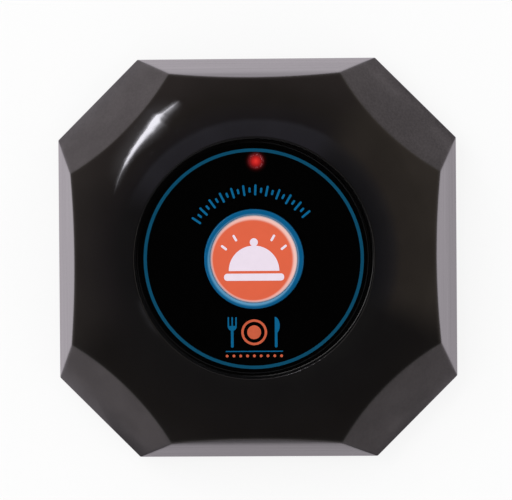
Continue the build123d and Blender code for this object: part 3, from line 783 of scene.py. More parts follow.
# The shell's lip and glint colours are painted light: a lip painted lighter as if lit and a painted glint.
SHELL = PolishedShell(
    "polished_black_shell", Colour(7, 6, 6), painted_lip_light=Colour(21, 21, 22), painted_glint=Colour(118, 116, 116),
    lip_centre=(0.05, 0.3), lip_inner=24.88, lip_outer=25.42,
)
UNDERSIDE = EtchedShell("etched_black_shell", Colour(30, 30, 31))
SEAL_RUBBER = Rubber("seal_rubber_grey", Colour(44, 44, 46))
FOOT_RUBBER = Rubber("foot_rubber_black", Colour(24, 24, 25))
TAPE = AdhesiveTape("fleece_tape", Colour(226, 222, 208))
RING_INK = Ink("ring_ink", RING_BLUE)
MARK_INK = Ink("mark_ink_blue", FACE_BLUE)
ACCENT_INK = Ink("mark_ink_orange", MARK_ORANGE)
BELL_INK = Ink("bell_ink", Colour(246, 232, 246), 0.015)
SCREW_ZINC = Metal("zinc_plated_screw", Colour(196, 198, 200), Colour(140, 136, 126), 0.26, (1.0, 1.0, 6.0))
TINNED = Metal("tinned_leads", Colour(206, 206, 204), Colour(150, 148, 142), 0.28, (2.0, 2.0, 0.5))
NICKEL = Metal("nickel_contacts", Colour(212, 206, 192), Colour(150, 138, 116), 0.24, (0.3, 5.0, 5.0))
SPRING = Metal("spring_wire", Colour(188, 186, 180), Colour(120, 116, 108), 0.3, (4.0, 4.0, 4.0))
CAN = Metal("drawn_can", Colour(208, 205, 196), Colour(150, 146, 134), 0.22, (0.8, 0.8, 4.0))
COPPER = Metal("enamelled_copper", Colour(196, 104, 62), Colour(140, 62, 34), 0.24, (4.0, 0.5, 4.0))
SOLDER = Metal("solder", Colour(186, 188, 190), Colour(132, 132, 130), 0.2, (1.2, 1.2, 1.2), 0.03)
CHIP_RESIN = Resin("chip_resin", Colour(34, 34, 36), 0.48)
SWITCH_RESIN = Resin("switch_resin", Colour(26, 26, 27), 0.4)
STEM_RESIN = Resin("stem_resin", Colour(150, 142, 128), 0.38)
SPACER_NYLON = Resin("spacer_nylon", Colour(198, 194, 182), 0.5, 0.01)


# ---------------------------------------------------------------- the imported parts
def dress(finishes: Dict[str, Finish]) -> None:
    """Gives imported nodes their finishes."""
    for node, finish in finishes.items():
        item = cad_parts[node]
        if not item.material_slots:
            item.data.materials.append(None)
        for slot in item.material_slots:
            slot.material = finish.material()
        LOG.info("dressed %s in %s", node, finish.name)


def solids_of(node: str) -> List[Box]:
    """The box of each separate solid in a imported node, in a fixed order."""
    copy = bmesh.new()
    copy.from_mesh(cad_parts[node].data)
    bmesh.ops.remove_doubles(copy, verts=copy.verts, dist=1e-6)
    left = set(copy.verts)
    boxes = []
    while left:
        group = [left.pop()]
        for vert in group:
            found = {edge.other_vert(vert) for edge in vert.link_edges} & left
            left -= found
            group.extend(found)
        spans = [[vert.co[axis] for vert in group] for axis in range(3)]
        boxes.append((Vector(map(min, spans)), Vector(map(max, spans))))
    copy.free()
    return sorted(boxes, key=lambda box: (round(box[0].x, 5), round(box[0].y, 5)))


def middle_of(box: Box, unit: float = 1.0) -> Point:
    """The middle of a box in plan, in metres or another unit."""
    middle = (box[0] + box[1]) / 2 / unit
    return middle.x, middle.y


def glow_middle() -> Point:
    """Where the lamp's glow is centred, in millimetres: a little off the window's middle."""
    x, y = middle_of(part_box("indicator_lens"), MM)
    return x + 0.14, y - 0.12


# ---------------------------------------------------------------- modelling
class Shape:
    """A mesh that bmesh operators shape, in metres."""

    def __init__(self) -> None:
        self.mesh = bmesh.new()

    def _chain(self, points: Sequence[Triple], closed: bool) -> List[bmesh.types.BMVert]:
        """Starts the mesh with points joined by edges, and gives all of it."""
        chain = [self.mesh.verts.new(point) for point in points]
        ends = zip(chain, chain[1:] + chain[:1]) if closed else zip(chain, chain[1:])
        return chain + [self.mesh.edges.new(pair) for pair in ends]

    def turn(self, profile: Sequence[Point], steps: int = 64, closed: bool = False) -> "Shape":
        """Spins a profile once round the vertical axis.

        Args:
            profile: (radius, height) points, from the axis outwards and back, or a closed section.
            steps: How many steps the turn has.
            closed: Whether the last point joins the first.

        Returns:
            This shape.
        """
        chain = self._chain([(radius, 0, height) for radius, height in profile], closed)
        bmesh.ops.spin(
            self.mesh, geom=chain, cent=(0, 0, 0), axis=(0, 0, 1), dvec=(0, 0, 0),
            angle=math.tau, steps=steps, use_merge=True,
        )
        bmesh.ops.remove_doubles(self.mesh, verts=self.mesh.verts, dist=1e-7)
        return self

    def coil(self, section: Sequence[Triple], turns: int, pitch: float, steps: int = 20) -> "Shape":
        """Sweeps a closed section down a helix round the vertical axis and caps its ends.

        Args:
            section: The section's corners.
            turns: How many turns the helix has.
            pitch: How far it sinks in a turn.
            steps: How many steps a turn has.

        Returns:
            This shape.
        """
        bmesh.ops.spin(
            self.mesh, geom=self._chain(section, True), cent=(0, 0, 0), axis=(0, 0, 1),
            dvec=(0, 0, -pitch / steps), angle=math.tau * turns, steps=steps * turns, use_merge=False,
        )
        rims = [edge for edge in self.mesh.edges if edge.is_boundary]
        bmesh.ops.holes_fill(self.mesh, edges=rims, sides=len(section))
        return self

    def plate(self, length: float, width: float, height: float, round_corner: float = 0.0) -> "Shape":
        """A flat bar centred on the origin, standing on zero, with rounded corners in plan."""
        bmesh.ops.create_cube(self.mesh, size=1.0)
        bmesh.ops.scale(self.mesh, vec=(length, width, height), verts=self.mesh.verts)
        bmesh.ops.translate(self.mesh, vec=(0, 0, height / 2), verts=self.mesh.verts)
        if round_corner:
            pairs = [(edge, *edge.verts) for edge in self.mesh.edges]
            upright = [edge for edge, one, other in pairs if abs(one.co.z - other.co.z) > height / 2]
            bmesh.ops.bevel(
                self.mesh, geom=upright, offset=round_corner, offset_type="OFFSET", affect="EDGES",
                segments=5, profile=0.5, material=-1, clamp_overlap=True,
            )
        return self

    def bar(self, length: float, width: float, height: float) -> "Shape":
        """A flat bar with nearly round ends."""
        return self.plate(length, width, height, 0.45 * min(length, width))

    def disc(self, radius: float, height: float, steps: int = 48) -> "Shape":
        """A flat round plate standing on zero."""
        return self.turn([(0, 0), (radius, 0), (radius, height), (0, height)], steps)

    def ring(self, inner: float, outer: float, height: float, steps: int) -> "Shape":
        """A flat ring standing on zero."""
        return self.turn([(inner, 0), (outer, 0), (outer, height), (inner, height)], steps, True)

    def halve(self, dropped: Triple) -> "Shape":
        """Cuts through the origin and drops the half on one side."""
        everything = self.mesh.verts[:] + self.mesh.edges[:] + self.mesh.faces[:]
        result = bmesh.ops.bisect_plane(
            self.mesh, geom=everything, plane_co=(0, 0, 0), plane_no=dropped, clear_outer=True
        )
        rim = [item for item in result["geom_cut"] if isinstance(item, bmesh.types.BMEdge)]
        bmesh.ops.edgeloop_fill(self.mesh, edges=rim)
        return self

    def move(self, offset: Triple, turn: float = 0.0, scale: Triple = (1, 1, 1)) -> "Shape":
        """Scales, then turns about the vertical axis by degrees, then moves."""
        turned = Matrix.Rotation(math.radians(turn), 4, "Z") @ Matrix.Diagonal((*scale, 1))
        matrix = Matrix.Translation(offset) @ turned
        bmesh.ops.transform(self.mesh, matrix=matrix, verts=self.mesh.verts)
        return self

    def flip(self) -> "Shape":
        """Turns the shape upside down."""
        turn = Matrix.Rotation(math.pi, 3, "X")
        bmesh.ops.rotate(self.mesh, cent=(0, 0, 0), matrix=turn, verts=self.mesh.verts)
        return self

    def join(self, other: "Shape") -> "Shape":
        """Adds another shape's mesh and frees it."""
        carrier = bpy.data.meshes.new("carrier")
        other.mesh.to_mesh(carrier)
        other.mesh.free()
        self.mesh.from_mesh(carrier)
        bpy.data.meshes.remove(carrier)
        return self

    def scatter(self, profile: Sequence[Point], places: Sequence[Triple], steps: int) -> "Shape":
        """Adds the same turned form at each place."""
        for place in places:
            self.join(Shape().turn(profile, steps).move(place))
        return self

    def _item(self, name: str, finish: Finish, replaced: Sequence[str]) -> bpy.types.Object:
        """Makes the shape an object in its finish. Edges that turn by more than 38 degrees stay sharp."""
        bmesh.ops.recalc_face_normals(self.mesh, faces=self.mesh.faces)
        mesh = bpy.data.meshes.new(name)
        self.mesh.to_mesh(mesh)
        self.mesh.free()
        mesh.polygons.foreach_set("use_smooth", [True] * len(mesh.polygons))
        mesh.set_sharp_from_angle(angle=math.radians(38.0))
        mesh.materials.append(finish.material())
        item = bpy.data.objects.new(name, mesh)
        bpy.context.scene.collection.objects.link(item)
        if replaced:
            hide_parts(*replaced)
        LOG.info("made %s with %d faces", name, len(mesh.polygons))
        return item

    def piece(self, name: str, finish: Finish, body: Body, slot: str, *replaced: str) -> None:
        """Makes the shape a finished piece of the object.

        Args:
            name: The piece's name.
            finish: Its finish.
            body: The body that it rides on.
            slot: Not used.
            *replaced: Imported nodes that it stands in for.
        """
        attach(self._item(name, finish, replaced), body.value)

    def spring(
        self, name: str, finish: Finish, bodies: Tuple[Body, Body], heights: Point, slot: str, *replaced: str
    ) -> None:
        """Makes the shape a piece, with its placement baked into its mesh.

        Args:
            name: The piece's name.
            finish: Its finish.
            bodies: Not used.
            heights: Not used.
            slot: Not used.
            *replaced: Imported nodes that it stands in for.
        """
        item = self._item(name, finish, replaced)
        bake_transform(item)


@dataclass(frozen=True)
class ScrewSet:
    """Pan-head screws with a cross recess and a thread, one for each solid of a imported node."""

    node: str
    head_height: float
    shank_radius: float
    pitch: float
    heads_down: bool

    def build(self) -> None:
        """Makes the screws as one piece."""
        solids = solids_of(self.node)
        low, high = solids[0]
        head_radius, length = (high.x - low.x) / 2, high.z - low.z - self.head_height
        group = Shape()
        for low, high in solids:
            one = self._screw(head_radius, length)
            if self.heads_down:
                one.flip().move((*middle_of((low, high)), low.z + self.head_height))
            else:
                one.move((*middle_of((low, high)), high.z - self.head_height))
            group.join(one)
        group.piece(f"{self.node}_cross", SCREW_ZINC, Body.HOUSING, "screw_steel", self.node)

    def _screw(self, head: float, length: float) -> Shape:
        """One screw with its head's underside at zero and its tip below."""
        height, depth = self.head_height, 0.22 * self.shank_radius
        core, tip = self.shank_radius - depth, length - self.shank_radius
        screw = Shape().turn([
            (0, height), (0.72 * head, height), (0.88 * head, 0.93 * height), (0.97 * head, 0.7 * height),
            (head, 0.4 * height), (head, 0), (core, 0), (core, -tip), (0.35 * core, -length), (0, -length),
        ], 32)
        self._sink_cross(screw, head)
        return screw.join(self._thread(core, depth, tip))

    def _sink_cross(self, screw: Shape, head: float) -> None:
        """Sinks a cross into the head's flat top."""
        reach, half, top = 0.6 * head, 0.15 * head, 0.99 * self.head_height
        for size in (reach, half):
            for normal in ((1, 0, 0), (-1, 0, 0), (0, 1, 0), (0, -1, 0)):
                flat = [face for face in screw.mesh.faces if min(vert.co.z for vert in face.verts) > top]
                edges = {edge for face in flat for edge in face.edges}
                verts = {vert for face in flat for vert in face.verts}
                geometry = flat + list(edges) + list(verts)
                bmesh.ops.bisect_plane(
                    screw.mesh, geom=geometry, plane_co=Vector(normal) * size, plane_no=normal
                )
        cross = []
        for face in screw.mesh.faces:
            middle = face.calc_center_median()
            near, far = sorted((abs(middle.x), abs(middle.y)))
            if middle.z > top and near < half and far < reach:
                cross.append(face)
        sunk = bmesh.ops.extrude_face_region(screw.mesh, geom=cross)
        moved = [item for item in sunk["geom"] if isinstance(item, bmesh.types.BMVert)]
        bmesh.ops.delete(screw.mesh, geom=cross, context="FACES_KEEP_BOUNDARY")
        bmesh.ops.scale(screw.mesh, vec=(0.8, 0.8, 1), verts=moved)
        bmesh.ops.translate(screw.mesh, vec=(0, 0, -0.55 * self.head_height), verts=moved)

    def _thread(self, core: float, depth: float, tip: float) -> Shape:
        """The helical ridge round the shank."""
        inner, outer, half = core - 0.02 * MM, core + depth, 0.32 * self.pitch
        start = -0.7 * self.pitch
        section = [(inner, 0, start + half), (outer, 0, start), (inner, 0, start - half)]
        return Shape().coil(section, math.floor((tip - self.pitch) / self.pitch), self.pitch)


# ---------------------------------------------------------------- sub-assemblies
@dataclass
class Housing:
    """Cover, base, seal, screws and feet."""

    foot_edge: float = 0.35 * MM
    foot_dish_radius: float = 2.2 * MM
    foot_dish_depth: float = 0.12 * MM
    screws: ScrewSet = ScrewSet("case_screws", 1.4 * MM, 1.25 * MM, 1.0 * MM, True)

    def build(self) -> None:
        """Dresses the shells and makes the screws and feet."""
        dress({"top_cover": SHELL, "base_cover": UNDERSIDE, "case_seal": SEAL_RUBBER})
        self._feet()
        self.screws.build()

    def _feet(self) -> None:
        """Turned rubber feet with rounded treads and a shallow dish."""
        solids = solids_of("rubber_feet")
        low, high = solids[0]
        radius, height, edge = (high.x - low.x) / 2, high.z - low.z, self.foot_edge
        profile = [
            (0, self.foot_dish_depth), (self.foot_dish_radius, self.foot_dish_depth),
            (self.foot_dish_radius + self.foot_dish_depth, 0), (radius - edge, 0),
            (radius - 0.3 * edge, 0.3 * edge), (radius, edge), (radius, height), (0, height),
        ]
        places = [(*middle_of(solid), solid[0].z) for solid in solids]
        feet = Shape().scatter(profile, places, 48)
        feet.piece("rubber_feet_turned", FOOT_RUBBER, Body.HOUSING, "foot_rubber", "rubber_feet")


@dataclass
class Fascia:
    """Printed overlay with its ring, an arc of strokes over the key and a table setting under it."""

    # Centre and radius of the painted highlight line near the overlay's edge.
    painted_edge_centre: Point = (-0.3, 0.3)
    painted_edge_radius: float = 24.2
    ink: float = 0.02 * MM
    print_shift: Point = (-0.08 * MM, 0.05 * MM)
    ring_inner: float = 22.40 * MM
    ring_outer: float = 23.08 * MM
    arc_radius: float = 14.4 * MM
    arc_start: float = 146.0
    arc_end: float = 40.0
    arc_marks: int = 23
    stroke_width: float = 0.46 * MM
    long_stroke: float = 2.3 * MM
    short_stroke: float = 1.1 * MM
    mark_place: Point = (0.0, -15.4 * MM)
    plate_outer: float = 2.7 * MM
    plate_inner: float = 2.2 * MM
    plate_well: float = 1.45 * MM
    cutlery_reach: float = 4.6 * MM
    cutlery_length: float = 6.4 * MM
    handle_width: float = 0.62 * MM
    tine_width: float = 0.3 * MM
    tine_gap: float = 0.5 * MM
    rule_length: float = 12.0 * MM
    rule_width: float = 0.22 * MM
    rule_drop: float = 4.0 * MM
    dot_radius: float = 0.3 * MM
    dot_drop: float = 0.95 * MM
    dot_count: int = 9

    def build(self) -> None:
        """Dresses the overlay and its tape and prints the marks."""
        # The film's second colour is its painted edge highlight line.
        film = PrintedFilm(
            "printed_film", Colour(2, 2, 2), Colour(27, 27, 28), self.painted_edge_centre, self.painted_edge_radius,
            glow_middle(), LAMP_HAZE,
        )
        dress({"fascia_disc": film, "fascia_tape": TAPE})
        x, y = self.mark_place
        self._print(Shape().ring(self.ring_inner, self.ring_outer, self.ink, 160), "printed_ring", RING_INK)
        self._print(self._arc(), "printed_arc", MARK_INK)
        cutlery = self._fork((x - self.cutlery_reach, y, 0)).join(self._knife((x + self.cutlery_reach, y, 0)))
        self._print(cutlery, "printed_cutlery", MARK_INK)
        self._print(self._plate_and_dots(x, y), "printed_plate", ACCENT_INK)
        rule = Shape().plate(self.rule_length, self.rule_width, self.ink, 0.4 * self.rule_width)
        self._print(rule.move((x, y - self.rule_drop, 0)), "printed_rule", MARK_INK)

    def _print(self, shape: Shape, name: str, finish: Finish) -> None:
        """Lays a printed shape on the overlay."""
        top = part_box("fascia_disc")[1].z
        shape.move((*self.print_shift, top)).piece(name, finish, Body.HOUSING, "printed_black")

    def _arc(self) -> Shape:
        """Long and short strokes in turn, pointing at the key."""
        marks = Shape()
        step = (self.arc_end - self.arc_start) / (self.arc_marks - 1)
        for number in range(self.arc_marks):
            length = self.short_stroke if number % 2 else self.long_stroke
            stroke = Shape().plate(length, self.stroke_width, self.ink, 0.48 * self.stroke_width)
            marks.join(stroke.move((self.arc_radius, 0, 0)).move((0, 0, 0), self.arc_start + step * number))
        return marks

    def _handle(self, length: float, middle: float) -> Shape:
        """The handle of a fork or knife."""
        width = self.handle_width
        return Shape().plate(0.9 * width, length, self.ink, 0.4 * width).move((0, middle, 0))

    def _fork(self, place: Triple) -> Shape:
        """A fork with three tines."""
        ink, length, spacing = self.ink, self.cutlery_length, self.tine_width + self.tine_gap
        fork = self._handle(0.62 * length, -0.19 * length)
        bowl = Shape().disc(spacing + self.tine_width / 2, 1.1 * ink, 32).halve((0, 1, 0))
        fork.join(bowl.move((0, 0.21 * length, 0), 0, (1, 1.1, 1)))
        for side in (-1, 0, 1):
            tine = Shape().bar(self.tine_width, 0.3 * length, 1.2 * ink)
            fork.join(tine.move((side * spacing, 0.35 * length, 0)))
        return fork.move(place)

    def _knife(self, place: Triple) -> Shape:
        """A knife with a curved blade."""
        length, width = self.cutlery_length, self.handle_width
        blade = Shape().disc(1.0, 1.1, 40).halve((-1, 0, 0))
        blade.move((-0.45 * width, 0.22 * length, 0), 0, (1.7 * width, 0.28 * length, self.ink))
        return self._handle(0.5 * length, -0.25 * length).join(blade).move(place)

    def _plate_and_dots(self, x: float, y: float) -> Shape:
        """A plate, and a row of dots under the rule."""
        ink = self.ink
        plate = Shape().ring(self.plate_inner, self.plate_outer, ink, 56)
        plate.join(Shape().disc(self.plate_well, ink, 44)).move((x, y, 0))
        row = y - self.rule_drop - self.dot_drop
        for number in range(self.dot_count):
            along = (number / (self.dot_count - 1) - 0.5) * (self.rule_length - 2 * self.dot_radius)
            plate.join(Shape().disc(self.dot_radius, ink, 16).move((x + along, row, 0)))
        return plate


@dataclass
class CallKey:
    """Blue key with its orange disc and a plain counter-bell pictogram."""

    ink: float = 0.03 * MM
    dome_radius: float = 5.3 * MM
    dome_base: float = -2.5 * MM
    stand_length: float = 12.6 * MM
    stand_width: float = 1.5 * MM
    stand_gap: float = 0.55 * MM
    knob_radius: float = 0.85 * MM
    neck_height: float = 0.7 * MM
    ray_inner: float = 7.2 * MM
    ray_length: float = 1.5 * MM
    ray_width: float = 0.5 * MM
    ray_angles: Tuple[float, ...] = (38.0, 60.0, 120.0, 142.0)

    def build(self) -> None:
        """Dresses the key and prints its pictogram."""
        low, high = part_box("key_face")
        radius = (high.x - low.x) / 2 / MM
        # The key's glow and fringe colours are painted highlights.
        ring = KeyRing(
            "key_blue_ring", Colour(0, 92, 139), glow=Colour(96, 162, 202), painted_highlight_angle=242.0,
            rim_inner=radius, widths=(0.34, 0.8),
        )
        face = KeyDisc(
            "key_orange_disc", Colour(234, 104, 71), glow=Colour(255, 204, 194), painted_rim_line=Colour(150, 172, 190),
            painted_highlight_angle=40.0, radius=radius, widths=(0.4, 0.95),
        )
        dress({"key_cap": ring, "key_face": face})
        self._bell().move((0, 0, high.z)).piece("printed_bell", BELL_INK, Body.KEY, "key_orange")

    def _bell(self) -> Shape:
        """Half dome on a stand, with a knob and ringing strokes."""
        ink, base = self.ink, self.dome_base
        bell = Shape().disc(self.dome_radius, ink, 72).halve((0, -1, 0)).move((0, base, 0))
        stand = Shape().bar(self.stand_length, self.stand_width, ink)
        bell.join(stand.move((0, base - self.stand_gap - self.stand_width / 2, 0)))
        crown = base + self.dome_radius
        bell.join(Shape().plate(self.knob_radius, 2 * self.neck_height, 1.1 * ink).move((0, crown, 0)))
        bell.join(Shape().disc(self.knob_radius, 1.2 * ink, 32).move((0, crown + self.neck_height, 0)))
        for angle in self.ray_angles:
            ray = Shape().bar(self.ray_length, self.ray_width, ink)
            bell.join(ray.move((self.ray_inner + self.ray_length / 2, 0, 0)).move((0, base, 0), angle))
        return bell


@dataclass
class Indicator:
    """Window, lamp, leads and spacer."""

    window_radius: float = 1.78

    def build(self) -> None:
        """Dresses the light and what carries it."""
        low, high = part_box("status_led")
        window = LampWindow(
            "lamp_window", glow_middle(), LAMP_HAZE, tint=Colour(12, 2, 3), painted_sparkle=Colour(206, 130, 138),
            radius=self.window_radius,
        )
        resin = LampResin("lamp_resin", Colour(190, 22, 24), low.z / MM, high.z / MM)
        dress({
            "indicator_lens": window, "status_led": resin, "led_leads": TINNED, "led_spacer": SPACER_NYLON,
        })


@dataclass
class CircuitBoard:
    """Board, its screws, solder and small components."""

    solder_foot: float = 0.8 * MM
    solder_height: float = 0.9 * MM
    screws: ScrewSet = ScrewSet("board_screws", 1.2 * MM, 1.0 * MM, 0.8 * MM, False)

    def build(self) -> None:
        """Dresses the board and its parts and makes screws and solder."""
        pins = [box for node in ("led_leads", "switch_legs", "resonator_pins") for box in solids_of(node)]
        pads = tuple(middle_of(pin, MM) for pin in pins)
        board = Laminate(
            "green_laminate", mask=Colour(18, 92, 52), track=Colour(44, 128, 70), tin=Colour(200, 200, 196),
            pads=pads,
        )
        dress({
            "circuit_board": board, "encoder_chip": CHIP_RESIN, "encoder_legs": TINNED, "resonator_can": CAN,
            "resonator_pins": TINNED, "transmitter_transistor": CHIP_RESIN, "antenna_coil": COPPER,
            "chip_resistors": self._ceramic("resistor_chips", Colour(30, 30, 33), "chip_resistors"),
            "chip_capacitors": self._ceramic("capacitor_chips", Colour(168, 136, 100), "chip_capacitors"),
        })
        self._solder(pins)
        self.screws.build()

    @staticmethod
    def _ceramic(name: str, colour: Colour, node: str) -> ChipCeramic:
        """The finish of one node's small ceramic parts."""
        return ChipCeramic(name, colour, TIN, tuple(middle_of(solid, MM) for solid in solids_of(node)))

    def _solder(self, pins: Sequence[Box]) -> None:
        """A fillet of solder round each pin under the board."""
        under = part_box("circuit_board")[0].z
        foot, height = self.solder_foot, self.solder_height
        profile = [
            (0, 0), (foot, 0), (0.72 * foot, -0.22 * height), (0.5 * foot, -0.55 * height),
            (0.4 * foot, -0.9 * height), (0.25 * foot, -height), (0, -height),
        ]
        joints = Shape().scatter(profile, [(*middle_of(pin), under) for pin in pins], 20)
        joints.piece("solder_joints", SOLDER, Body.HOUSING, "tinned")


@dataclass
class TactSwitch:
    """The switch under the key."""

    snap_thickness: float = 0.1 * MM
    snap_steps: int = 10
    rivet_radius: float = 0.38 * MM
    rivet_height: float = 0.16 * MM
    rivet_inset: float = 0.75 * MM

    def build(self) -> None:
        """Dresses the switch and makes its snap disc and rivets."""
        dress({
            "switch_body": SWITCH_RESIN, "switch_plate": NICKEL, "switch_legs": TINNED,
            "switch_actuator": STEM_RESIN,
        })
        self._snap_disc()
        self._rivets()

    def _snap_disc(self) -> None:
        """The switch's springy snap disc, turned as one piece."""
        low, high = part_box("switch_dome")
        radius, rise, thickness = high.x, high.z - low.z, self.snap_thickness
        outer, inner = [], []
        for number in range(self.snap_steps + 1):
            share = number / self.snap_steps
            height = low.z + rise * (1 - share**2)
            outer.append((radius * share, height))
            inner.append(((radius - thickness) * share, max(height - thickness, low.z)))
        disc = Shape().turn(outer + inner[::-1], 48)
        bodies, heights = (Body.HOUSING, Body.STEM), (low.z, high.z)
        disc.spring("switch_snap_disc", SPRING, bodies, heights, "tinned", "switch_dome")

    def _rivets(self) -> None:
        """Rivets that hold the switch's plate."""
        low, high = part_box("switch_plate")
        radius, height, inset = self.rivet_radius, self.rivet_height, self.rivet_inset
        profile = [
            (0, height), (0.5 * radius, 0.9 * height), (0.85 * radius, 0.55 * height), (radius, 0), (0, 0),
        ]
        columns, rows = (low.x + inset, high.x - inset), (low.y + inset, high.y - inset)
        rivets = Shape().scatter(profile, [(x, y, high.z) for x in columns for y in rows], 20)
        rivets.piece("switch_rivets", SWITCH_RESIN, Body.HOUSING, "moulding_black")


@dataclass
class BatteryBay:
    """Cell, contacts, spring and door."""

    gold_length: float = 7.5
    seam_drop: float = 0.4
    grip_count: int = 4
    grip_pitch: float = 1.3 * MM
    grip_length: float = 5.6 * MM
    grip_width: float = 0.5 * MM
    grip_height: float = 0.25 * MM
    grip_inset: float = 2.0 * MM
    arrow_width: float = 4.2 * MM
    arrow_gap: float = 1.82 * MM

    def build(self) -> None:
        """Dresses the cell and its contacts and finishes the door."""
        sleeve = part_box("battery_sleeve")
        jacket = CellJacket(
            "cell_jacket", Colour(24, 26, 30), Colour(196, 150, 70), sleeve[1].x / MM - self.gold_length,
            sleeve[1].z / MM - self.seam_drop,
        )
        dress({
            "battery_sleeve": jacket, "battery_can": CAN, "contact_plus": NICKEL, "contact_minus": NICKEL,
            "contact_spring": SPRING, "battery_door": UNDERSIDE,
        })
        self._grip(middle_of(sleeve)[1])

    def _grip(self, y: float) -> None:
        """Raised bars and an arrow on the door's outside, beside its latch."""
        low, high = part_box("battery_door")
        bottom, start = low.z - self.grip_height, high.x - self.grip_inset
        grip = Shape()
        for number in range(self.grip_count):
            rib = Shape().bar(self.grip_width, self.grip_length, self.grip_height)
            grip.join(rib.move((start - number * self.grip_pitch, y, bottom)))
        arrow = Shape().disc(self.arrow_width / math.sqrt(3), self.grip_height, 3)
        grip.join(arrow.move((start - self.grip_count * self.grip_pitch - self.arrow_gap, y, bottom), 180))
        grip.piece("door_grip", UNDERSIDE, Body.DOOR, "base_abs")


# ---------------------------------------------------------------- studio
@dataclass(frozen=True)
class Wall:
    """One side of the mirrored room. Its stops run from the horizon, 0, to straight up, 1."""

    angle: float
    outside: float
    inside: float
    stops: Stops


WALLS = (
    Wall(270.0, -3.0, -2.0, stops(
        (0.0, 200, 198, 198), (0.15, 140, 136, 134), (0.45, 88, 83, 81), (0.6, 73, 68, 66),
        (0.78, 68, 66, 67), (0.81, 76, 75, 75), (0.87, 62, 62, 62), (0.93, 8, 8, 8), (0.97, 0, 0, 0),
    )),
    Wall(165.0, 0.68, 0.90, stops(
        (0.0, 200, 198, 198), (0.15, 172, 164, 158), (0.45, 140, 130, 124), (0.63, 110, 102, 100),
        (0.73, 86, 80, 82), (0.78, 71, 69, 71), (0.84, 53, 53, 56), (0.87, 50, 50, 54), (0.93, 8, 8, 8),
        (0.97, 0, 0, 0),
    )),
    Wall(104.0, 0.52, 0.80, stops(
        (0.0, 205, 203, 203), (0.15, 168, 160, 154), (0.45, 146, 132, 128), (0.6, 125, 114, 111),
        (0.69, 105, 96, 91), (0.764, 90, 84, 89), (0.778, 120, 118, 129), (0.82, 112, 109, 122),
        (0.87, 86, 85, 95), (0.93, 10, 10, 11), (0.97, 0, 0, 0),
    )),
    Wall(18.0, 0.68, 0.86, stops(
        (0.0, 205, 203, 203), (0.15, 182, 172, 164), (0.45, 160, 147, 137), (0.63, 142, 130, 120),
        (0.66, 133, 122, 112), (0.76, 127, 116, 108), (0.79, 101, 97, 100), (0.82, 74, 74, 81),
        (0.84, 51, 51, 54), (0.87, 42, 42, 45), (0.93, 8, 8, 8), (0.97, 0, 0, 0),
    )),
)


